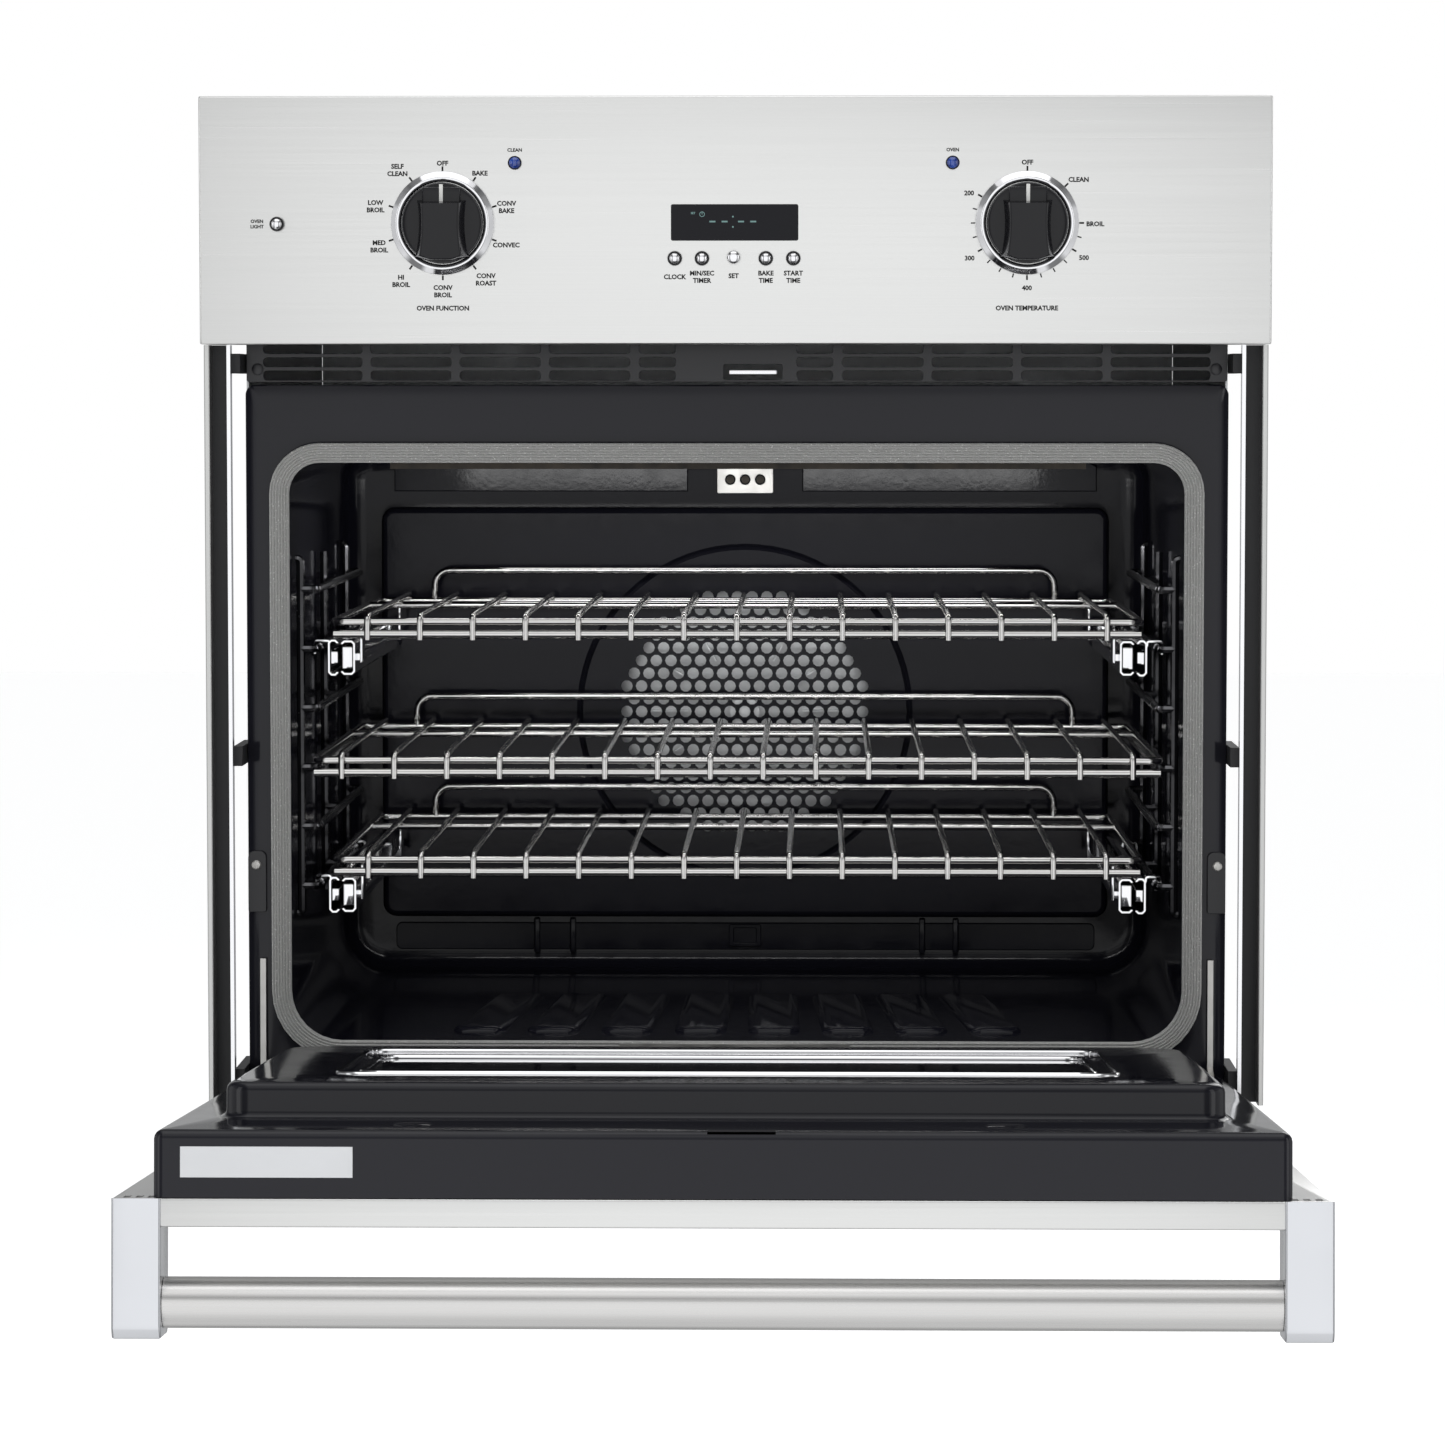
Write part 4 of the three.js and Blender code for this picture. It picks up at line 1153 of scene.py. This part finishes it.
BRAID = finish("braided_seal", (0.25, 0.25, 0.245), roughness=0.7, Sheen_Weight=0.6)
stitches = noise_of(BRAID, (430, 430, 430), kind="ShaderNodeTexVoronoi", spots=True)
tint(BRAID, stitches, (1.0, 1.0, 0.98), (0.40, 0.40, 0.39))
relief(BRAID, stitches, 0.6, 0.0008)
settle("braided_seal", loft(seal_rings, closed=True), BRAID, replaces=["door_gasket"])
strip = brick((-84, gasket_low.y + 0.02, MOUTH_LOW[1] - 13), (82, gasket_low.y + 1, MOUTH_LOW[1] - 1), 0.3, 1)
settle("seal_splice_cover", strip, HINGE_STEEL)

# %% Hinge covers on the frame
for side, hand in HANDS:
    outline = rounded((337.5, 177), (350.5, 221), 1.5, 4.5, 4)
    cover = plate([outline], 2.4, FRAME_Y - 2.7, 0.4, 2)
    head = screw((344.5, FRAME_Y - 2.7, 211), 3.4)
    settle(hand + "_hinge_cover", merged(marked(cover, 0), marked(head, 1)), [BLACK_PAINT, HINGE_STEEL],
           place=mirrored(side))

# %% [markdown]
# ## The cavity
# The liner is a deep-drawn, welded box of enamelled steel. Every corner is round, the back is
# dished, and the floor has raised pads that stiffen it against the heat.

# %% Liner
CAVITY_LOW = (-321.5, 84.0)
CAVITY_HIGH = (321.5, 503.0)
CAVITY_BACK = box("cavity_back_wall")[0].y
CAVITY_FRONT = FRAME_BACK + 0.3


def cavity_ring(y, grow):
    return ring(CAVITY_LOW, CAVITY_HIGH, y, grow, 37, 24, 8)


WALL = 1.5
FOLD = 16
inner = [(0, CAVITY_FRONT)] + fillet(0, CAVITY_BACK - FOLD, -FOLD, CAVITY_BACK, steps=5)
outer = [(WALL, CAVITY_FRONT), (WALL, CAVITY_BACK + WALL)]
rings = [cavity_ring(y, grow) for grow, y in outer[::-1] + inner]
liner = loft(rings)
shaft_hole = turned([(0, -10), (8, -10), (8, 10), (0, 10)], (0, CAVITY_BACK, 294.3), 24)
settle("cavity_liner", carve(liner, shaft_hole), CAVITY_ENAMEL,
       replaces=["cavity_left_wall", "cavity_right_wall", "cavity_roof", "cavity_floor",
                 "cavity_back_wall"])

# %% [markdown]
# The pads draw together slightly towards the back. Each is a loft of four levels of one outline with
# cut corners, and every level is a little smaller than the one below.

# %% Floor pads
FLOOR_Z = CAVITY_LOW[1]
PAD_FRONT, PAD_REAR, PAD_HALF = -222, -8, 19


def pad_ring(base, z, inset):
    """One level of a pad: the base's corners are cut off, and its sides lean in by inset."""
    cx = sum(x for x, _ in base) / 4
    cy = sum(y for _, y in base) / 4
    corners = [Vector(corner) for corner in base]
    points = []
    for k, corner in enumerate(corners):
        for neighbour in (corners[k - 1], corners[(k + 1) % 4]):
            points.append(corner + (neighbour - corner).normalized() * 7)
    return [(x - math.copysign(inset, x - cx), y - math.copysign(inset, y - cy), z) for x, y in points]


pads = []
for i in range(8):
    x = -189 + 54 * i
    lean = -x * 0.10
    base = [(x - PAD_HALF, PAD_FRONT), (x + PAD_HALF, PAD_FRONT), (x + PAD_HALF + lean, PAD_REAR),
            (x - PAD_HALF + lean, PAD_REAR)]
    pads.append(loft([pad_ring(base, FLOOR_Z + rise, inset)
                      for rise, inset in ((-0.5, 0), (1.5, 0.8), (3.4, 2.6), (4, 5))]))
settle("floor_pads", merged(*pads), CAVITY_ENAMEL)

# %% [markdown]
# ### Rear baffle
# A shallow enamelled tray screwed to the back wall. A round field of small holes lets the fan
# draw air, and a pressed ring stiffens the sheet round it.

# %% Baffle
baffle_low, baffle_high = box("fan_cover")
B_LOW, B_HIGH = (baffle_low.x, baffle_low.z), (baffle_high.x, baffle_high.z)
FAN_Z = 294.3
PITCH = 11.8
HOLE = 4.7
SHEET_THIN = 1.2
GROOVE = 132


def hole_field(radius):
    made = []
    for row in range(-9, 10):
        for column in range(-10, 11):
            x = PITCH * (column + 0.5 * (row % 2))
            z = PITCH * math.sqrt(3) / 2 * row
            if math.hypot(x, z) < radius:
                made.append((x, FAN_Z + z))
    return made


holes = hole_field(8.45 * PITCH)
print("holes in the baffle", len(holes))
disc = plate([circle((0, FAN_Z), GROOVE - 2.5, 72)] + [circle(h, HOLE, 10) for h in holes],
             SHEET_THIN, baffle_low.y)
field = plate([rounded((B_LOW[0] + 5, B_LOW[1] + 5), (B_HIGH[0] - 5, B_HIGH[1] - 5), 6),
               circle((0, FAN_Z), GROOVE + 2.5, 72)], SHEET_THIN, baffle_low.y)
groove = turned([
    (GROOVE - 2.6, 0), (GROOVE - 2.2, -0.2), (GROOVE - 1.2, -1.8), (GROOVE, -2.4), (GROOVE + 1.2, -1.8),
    (GROOVE + 2.2, -0.2), (GROOVE + 2.6, 0), (GROOVE + 2.6, -1.2), (GROOVE + 1.2, -3.0),
    (GROOVE, -3.6), (GROOVE - 1.2, -3.0), (GROOVE - 2.6, -1.2), (GROOVE - 2.6, 0),
], (0, baffle_low.y, FAN_Z), 72)
folded = fillet(-5, baffle_low.y, 0, baffle_low.y + 5, face_first=True)
folded += [(0, baffle_high.y), (-SHEET_THIN, baffle_high.y), (-SHEET_THIN, baffle_low.y + 5),
           (-5, baffle_low.y + SHEET_THIN)]
tray_edge = loft([ring(B_LOW, B_HIGH, y, grow, 11, steps=6) for grow, y in folded], closed=True)
settle("baffle", merged(disc, field, groove, tray_edge), CAVITY_ENAMEL, replaces=["fan_cover"])

# %% Back wall bands
bands = []
band_y = CAVITY_BACK - 0.2
for x0, x1 in ((-282, -46), (46, 282)):
    lean = 12
    outline = [(x0, 470), (x1, 470), (x1, 490), (x1 - (lean if x1 > 0 else 0), 496),
               (x0 + (0 if x1 > 0 else lean), 496), (x0, 490)]
    bands.append(plate([outline], 4, band_y - 4, 0.8, 2))
bands.append(plate([rounded((-282, 100), (282, 122), 5)], 4, band_y - 4, 0.8, 2))
for x in (-168, -139, 143, 170):
    bands.append(brick((x - 2.5, band_y - 7, 98), (x + 2.5, band_y - 1, 126), 1.2, 2))
frame_outlines = [rounded((-13, 103), (13, 121), 2), rounded((-9, 106), (9, 118), 1.5)]
bands.append(plate(frame_outlines, 3, band_y - 7, 0.6, 2))
settle("back_wall_bands", merged(*bands), CAVITY_ENAMEL)

# %% Heaters, fan and terminal plate
repaint(["convection_element", "broil_element"], HEATER)
FAN_METAL = finish("fan_sheet", (0.72, 0.73, 0.74), metallic=0.8)
spread(FAN_METAL, noise_of(FAN_METAL, (60, 60, 60)), 0.3, 0.45)
shroud = turned([(10, 0), (112, 0), (112, 0.8), (106, 1.6), (60, 1.6), (10, 1.6), (10, 0)],
                (0, CAVITY_BACK - 0.1, FAN_Z), 48)
settle("fan_shroud", shroud, FAN_METAL)
repaint(["convection_fan"], FAN_METAL)
plate_low, plate_high = box("terminal_plate")
terminal_z = (plate_low.z + plate_high.z) / 2
SOCKETS = (-12, 0, 12)
corners = rounded((plate_low.x, plate_low.z), (plate_high.x, plate_high.z), 1.5)
terminal = plate([corners] + [circle((x, terminal_z), 4.2, 20) for x in SOCKETS], 1.6, plate_low.y, 0.3, 1)
stub = [(0, 0), (3.2, 0), (3.2, 1.0), (1.0, 1.4), (0, 1.4)]
stubs = [marked(turned(stub, (x, plate_high.y, terminal_z), 16), 1) for x in SOCKETS]
settle("terminal_face", merged(marked(terminal, 0), *stubs), [HINGE_STEEL, HEATER],
       replaces=["terminal_plate"])

# %% [markdown]
# ## Racks, ladders and glides
# Nickel-plated wire, resistance-welded where it crosses. The front ends of a rack's wires bend
# over the upper rail and end on the lower one. Each wire has its own round bend.

# %% Ladders
LEVELS = [191.6 + 43.1 * i for i in range(6)]
POST, RUNG, WIRE = 316.5, 305, 3.0
FRONT_POST, BACK_POST = -226, 124


def ladder_paths():
    middle = (FRONT_POST + BACK_POST) / 2
    low, high = LEVELS[0] - 20, LEVELS[-1] + 22
    posts = []
    for y in (FRONT_POST, BACK_POST):
        posts.append(bend([(320, y, low), (POST, y, low), (POST, y, high), (320, y, high)], 2.5))
    posts.append([(POST, middle, low), (POST, middle, high)])
    rungs = []
    for z in LEVELS:
        rungs.append(bend([(POST, FRONT_POST, z), (RUNG, FRONT_POST, z), (RUNG, BACK_POST, z),
                           (POST, BACK_POST, z)], 6.0))
        rungs.append([(RUNG, middle, z), (POST, middle, z)])
    return posts + rungs


for side, hand in HANDS:
    settle(hand + "_ladder", wires(ladder_paths(), WIRE, 2), SHADED_LADDER_WIRE,
           replaces=[hand + "_rack_ladder"], place=mirrored(side))

# %% [markdown]
# A rack has a frame of thick wire, a cross rail, a thick nose wire below the front and a raised
# stop at the back. Curves with a round bevel make the wires, because a curve follows the bends
# that are computed once for each wire.

# %% Racks
RAIL, THIN, SPACING, BACKSTOP = 2.8, 2.3, 38.1, 24
RACK_FRONT, RACK_BACK = -240, 130


def make_rack(name, half, z, count):
    edge = half - RAIL
    low = z - 9
    frame_path = bend([(0, RACK_FRONT, z), (edge, RACK_FRONT, z), (edge, RACK_BACK, z),
                       (-edge, RACK_BACK, z), (-edge, RACK_FRONT, z), (0, RACK_FRONT, z)], 9, 5)
    rails = [frame_path, [(-edge, RACK_BACK - 90, z), (edge, RACK_BACK - 90, z)]]
    nose = [[(-edge, RACK_FRONT - 1, low), (edge, RACK_FRONT - 1, low)]]
    loop = half - 48
    rails.append(bend([(-loop, RACK_BACK, z), (-loop, RACK_BACK, z + BACKSTOP),
                       (loop, RACK_BACK, z + BACKSTOP), (loop, RACK_BACK, z)], 12, 6))
    lift = RAIL + THIN - 0.6
    grid = []
    for i in range(count):
        x = SPACING * (i - (count - 1) / 2)
        grid.append(bend([(x, RACK_BACK + 2, z + lift), (x, RACK_FRONT - lift, z + lift),
                          (x, RACK_FRONT - lift, low - 4)], 5.0, 5))
    whole = merged(wires(rails, RAIL, 3), wires(nose, 3.3, 3), wires(grid, THIN, 3))
    settle(name + "_wires", whole, RACK_WIRE, body=name + "_body", replaces=[name])


for rack, half, count in (("top_rack", 294, 15), ("bottom_rack", 294, 15), ("middle_rack", 308.5, 16)):
    make_rack(rack, half, box(rack)[1].z - 25, count)

# %% [markdown]
# Two of the racks run on pairs of telescopic glides. The outer channel hooks over a rung of the
# ladder and stays, and the inner runner rides out with the rack. Both are rolled sections, so
# one outline is drawn across and extended along the depth.

# %% Glides
CHANNEL_WALL, CHANNEL_FOLD = 1.3, 2.2


def c_section(back, tip, top, bottom):
    """A rolled channel's outline in X and Z: its web is at back, and its lips reach towards tip."""
    way = 1 if tip > back else -1
    wall, fold = CHANNEL_WALL, CHANNEL_FOLD
    outer = [(tip, top - fold), (tip - way * fold, top), (back + way * fold, top), (back, top - fold),
             (back, bottom + fold), (back + way * fold, bottom), (tip - way * fold, bottom),
             (tip, bottom + fold)]
    inner = [(tip - way * wall, bottom + fold + 0.5), (tip - way * (fold + 0.5), bottom + wall),
             (back + way * (fold + 0.5), bottom + wall), (back + way * wall, bottom + fold + 0.5),
             (back + way * wall, top - fold - 0.5), (back + way * (fold + 0.5), top - wall),
             (tip - way * (fold + 0.5), top - wall), (tip - way * wall, top - fold - 0.5)]
    return outer + inner


def bar_along(section, y0, y1):
    return loft([[(x, y0, z) for x, z in section], [(x, y1, z) for x, z in section]])


OUTER, SPLIT, INNER, TAB, SLIDE_HEIGHT = 296.0, 287.2, 276.5, 271.5, 26.0
HOOK_REACH = 309.3


def glide_hook(y, z_mid, rung_z):
    """A bent strap from the channel over a rung of the ladder."""
    path = bend([(OUTER - 0.8, y, z_mid + 6), (OUTER + 2.5, y, z_mid + 6),
                 (OUTER + 2.5, y, rung_z + 4.3), (HOOK_REACH, y, rung_z + 4.3),
                 (HOOK_REACH, y, rung_z - 5)], 1.6, 3)
    strap = [(x, z) for x, _, z in path]
    steps = offsets_of(strap, 0.7)
    one = [(x + dx, z + dz) for (x, z), (dx, dz) in zip(strap, steps)]
    other = [(x - dx, z - dz) for (x, z), (dx, dz) in zip(strap, steps)]
    return bar_along(one + other[::-1], y, y + 14)


def channel(low, high, z_top, z_low, rung_z):
    z_mid = (z_top + z_low) / 2
    parts = [bar_along(c_section(OUTER, SPLIT + 1.2, z_top, z_low), low.y, high.y)]
    parts.append(brick((SPLIT + 1.6, low.y + 1, z_mid - 4.5), (OUTER - 1.6, high.y - 1, z_mid + 4.5), 0.8, 2))
    parts += [glide_hook(y, z_mid, rung_z) for y in (FRONT_POST + 30, BACK_POST - 40)]
    return merged(*parts)


def runner(low, high, z_top, z_low):
    z_mid = (z_top + z_low) / 2
    parts = [bar_along(c_section(INNER, SPLIT - 0.4, z_top - 0.6, z_low + 0.6), low.y, high.y)]
    parts.append(brick((INNER + 1.6, low.y + 0.5, z_mid - 8), (SPLIT - 1.0, high.y - 0.5, z_mid + 8), 1.0, 2))
    for y in (low.y + 6, high.y - 30):
        parts.append(brick((TAB, y, z_mid - 4), (TAB + 2, y + 20, high.z), 0.5, 2))
    parts.append(brick((TAB + 1, low.y + 8, z_mid - 3), (INNER + 1, high.y - 12, z_mid + 3), 0.8, 2))
    return merged(*parts)


for rack, level in (("top_rack", 4), ("bottom_rack", 0)):
    glide = box(rack + "_right_glide")
    slider = box(rack + "_right_slider")
    z_top = glide[1].z - 1.0
    z_low = z_top - SLIDE_HEIGHT
    for side, hand in HANDS:
        settle(f"{rack}_{hand}_channel", channel(*glide, z_top, z_low, LEVELS[level]), CHROME,
               replaces=[f"{rack}_{hand}_glide"], place=mirrored(side))
        settle(f"{rack}_{hand}_runner", runner(*slider, z_top, z_low), CHROME, body=rack + "_body",
               replaces=[f"{rack}_{hand}_slider"], place=mirrored(side))

# %% [markdown]
# ## The door
# A folded stainless skin carries an enamelled liner with a window. It is built closed, where
# its faces are square, and then turned open on the hinge axis.

# %% Skin
skin_low, skin_high = box("door_skin", TO_DOOR)
SKIN_EDGE = 1.3
wall = Vector((SHEET, SHEET, SHEET))
skin = carve(brick(skin_low, skin_high, SKIN_EDGE, 3), brick(skin_low + wall, skin_high - wall))
skin = carve(skin, brick((skin_low.x + 40, skin_high.y - 4, skin_low.z + 40),
                         (skin_high.x - 40, skin_high.y + 4, skin_high.z - 40)))
W_LOW, W_HIGH = (-238, 163), (238, 325)
skin = carve(skin, loft([ring(W_LOW, W_HIGH, y, 9, 12) for y in (skin_low.y - 4, skin_low.y + 4)]))
for side in (1, -1):
    for i in range(3):
        x = side * (skin_high.x - 8.5 - 7.5 * i)
        skin = carve(skin, brick((x - 2.2, skin_high.y - 3, skin_high.z - 18),
                                 (x + 2.2, skin_high.y + 3, skin_high.z - 5)))
settle("door_skin_tray", skin, STAINLESS, body="door", replaces=["door_skin"], place=DOOR)
repaint(["door_outer_glass", "door_inner_glass"], SMOKED_GLASS)

# %% Liner
liner_low, liner_high = box("door_liner", TO_DOOR)
TIER_Y = 11.7
PLUG_Y = liner_high.y
REAR_Y = liner_low.y
THIN_SHEET = 1.2
T_LOW, T_HIGH = (liner_low.x, liner_low.z), (liner_high.x, liner_high.z)
P_LOW, P_HIGH = (-317, 41.5), (317, 425)


def tier_ring(y, grow):
    return ring(T_LOW, T_HIGH, y, grow, 7, steps=6)


def plug_ring(y, grow):
    return ring(P_LOW, P_HIGH, y, grow, 34, 18, steps=6)


def window_ring(y, grow):
    return ring(W_LOW, W_HIGH, y, grow, 14, steps=6)


ROUND = 6
rings = [tier_ring(REAR_Y, 0), tier_ring(TIER_Y - ROUND, 0)]
rings += [tier_ring(y, grow) for grow, y in fillet(0, TIER_Y - ROUND, -ROUND, TIER_Y)[1:]]
rings += [plug_ring(y, grow) for grow, y in fillet(5, TIER_Y, 0, TIER_Y + 5, face_first=True)]
rings += [plug_ring(y, grow) for grow, y in fillet(0, PLUG_Y - ROUND, -ROUND, PLUG_Y)]
rings += [window_ring(PLUG_Y, 14), window_ring(PLUG_Y - 0.9, 13), window_ring(PLUG_Y - 0.9, 1),
          window_ring(PLUG_Y - 1.2, 0), window_ring(PLUG_Y - THIN_SHEET - 0.6, 0)]
rings += [plug_ring(PLUG_Y - THIN_SHEET - 0.6, -ROUND - 1), plug_ring(PLUG_Y - ROUND - 1, -THIN_SHEET),
          plug_ring(TIER_Y - THIN_SHEET, -THIN_SHEET), tier_ring(TIER_Y - THIN_SHEET, -ROUND),
          tier_ring(TIER_Y - ROUND, -THIN_SHEET), tier_ring(REAR_Y, -THIN_SHEET)]
door_liner = loft(rings, closed=True)
cutters = [brick((x - 4.5, -12, T_LOW[1] - 1), (x + 4.5, TIER_Y + 2, 26)) for x in (-340, 340)]
cutters.append(brick((latch_low.x - 4, TIER_Y - 4, 509), (latch_high.x + 4, TIER_Y + 2, 518)))
for cutter in cutters:
    door_liner = carve(door_liner, cutter)
settle("door_liner_tray", door_liner, ENAMEL, body="door", replaces=["door_liner"], place=DOOR)

# %% [markdown]
# Two thin metal beads frame the window, one inside the other. They are lofts closed on
# themselves, with a section of six points.

# %% Window surround
def bead(outline, grow, width, height, base):
    shoulder, crest = base + height * 0.6, base + height
    section = [(grow, base), (grow, shoulder), (grow + width * 0.25, crest),
               (grow + width * 0.75, crest), (grow + width, shoulder), (grow + width, base)]
    return loft([outline(y, g) for g, y in section], closed=True)


def outer_ring(y, grow):
    return ring((-252, 105), (252, 347), y, grow, 16, steps=6)


surround = merged(bead(window_ring, 0.4, 2.8, 2.2, PLUG_Y - 1.4), bead(outer_ring, 0, 2.8, 2.2, PLUG_Y - 0.8))
settle("window_beads", surround, CHROME, body="door", place=DOOR)

# %% [markdown]
# The label is a thin plate with nothing written on it. Two flat caps close holes of the tier.

# %% Label and plugs
label = brick((-332.5, -17.5, T_HIGH[1] - 0.2), (-226.5, 1.5, T_HIGH[1] + 0.25), 0.08, 1)
settle("blank_label", label, BLANK_LABEL, body="door", place=DOOR)
tier_plugs = []
for x in (-193, 175):
    cap = turned([(0, 0), (13, 0), (13, 0.4), (11.5, 1.1), (0, 1.3)], (0, 0, 0), 32)
    cap.transform(Matrix.Translation((x, TIER_Y, 478)) @ FACING["back"])
    tier_plugs.append(cap)
settle("tier_plugs", merged(*tier_plugs), ENAMEL, body="door", place=DOOR)

# %% [markdown]
# ## Handle and hinges
# Two polished castings hold a brushed tube. The castings' corners are soft because they are
# ground by hand. Each hinge arm is a ribbed steel strap that leans from the frame to the door.

# %% Brackets
low, high = box("handle_right_bracket", TO_DOOR)
foot, crown = skin_low.y - 0.1, skin_high.z + 0.1
for side, hand in HANDS:
    section = [
        (low.y + 4.2, low.z), (foot, low.z), (foot, crown), (high.y, crown), (high.y, high.z),
        (low.y + 7.0, high.z), (low.y, high.z - 4.0), (low.y, low.z + 4.2),
    ]
    bracket = bmesh.new()
    base = bracket.faces.new([bracket.verts.new((low.x, y, z)) for y, z in section])
    raised = bmesh.ops.extrude_face_region(bracket, geom=[base])["geom"]
    bmesh.ops.translate(bracket, vec=(high.x - low.x, 0, 0),
                        verts=[v for v in raised if isinstance(v, bmesh.types.BMVert)])
    outer = [e for e in bracket.edges if min(v.co.y for v in e.verts) < foot - 1]
    bmesh.ops.bevel(bracket, geom=outer, offset=1.5, segments=4, profile=0.5,
                    affect="EDGES", material=-1)
    settle(hand + "_handle_bracket", to_mesh(bracket), CASTING, body="door",
           replaces=[f"handle_{hand}_bracket"],
           place=DOOR @ mirrored(side))

# %% [markdown]
# The tube is a single cylinder that lies across the door between the castings.

# %% Tube
tube_low, tube_high = box("handle_tube", TO_DOOR)
tube_mid = (tube_low + tube_high) / 2
TUBE_RADIUS = 15.875
tube = bmesh.new()
bmesh.ops.create_cone(tube, cap_ends=True, segments=72, radius1=TUBE_RADIUS, radius2=TUBE_RADIUS,
                      depth=tube_high.x - tube_low.x)
lie_across = Matrix.Translation(tube_mid) @ Matrix.Rotation(math.radians(90), 4, "Y")
bmesh.ops.transform(tube, matrix=lie_across, verts=tube.verts)
settle("handle_tube_bar", to_mesh(tube), TUBE_STEEL, body="door", replaces=["handle_tube"],
       place=DOOR)

# %% Hinge arms
repaint(["right_hinge_arm", "left_hinge_arm"], HINGE_STEEL)
low, high = box("right_hinge_arm")
print("a hinge arm measures", [round(side, 1) for side in high - low], "mm")

# %% [markdown]
# ## Close
# The size of the visible object is printed.

# %% Sizes and finish
low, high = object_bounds()
print("visible box in metres", tuple(low), tuple(high))
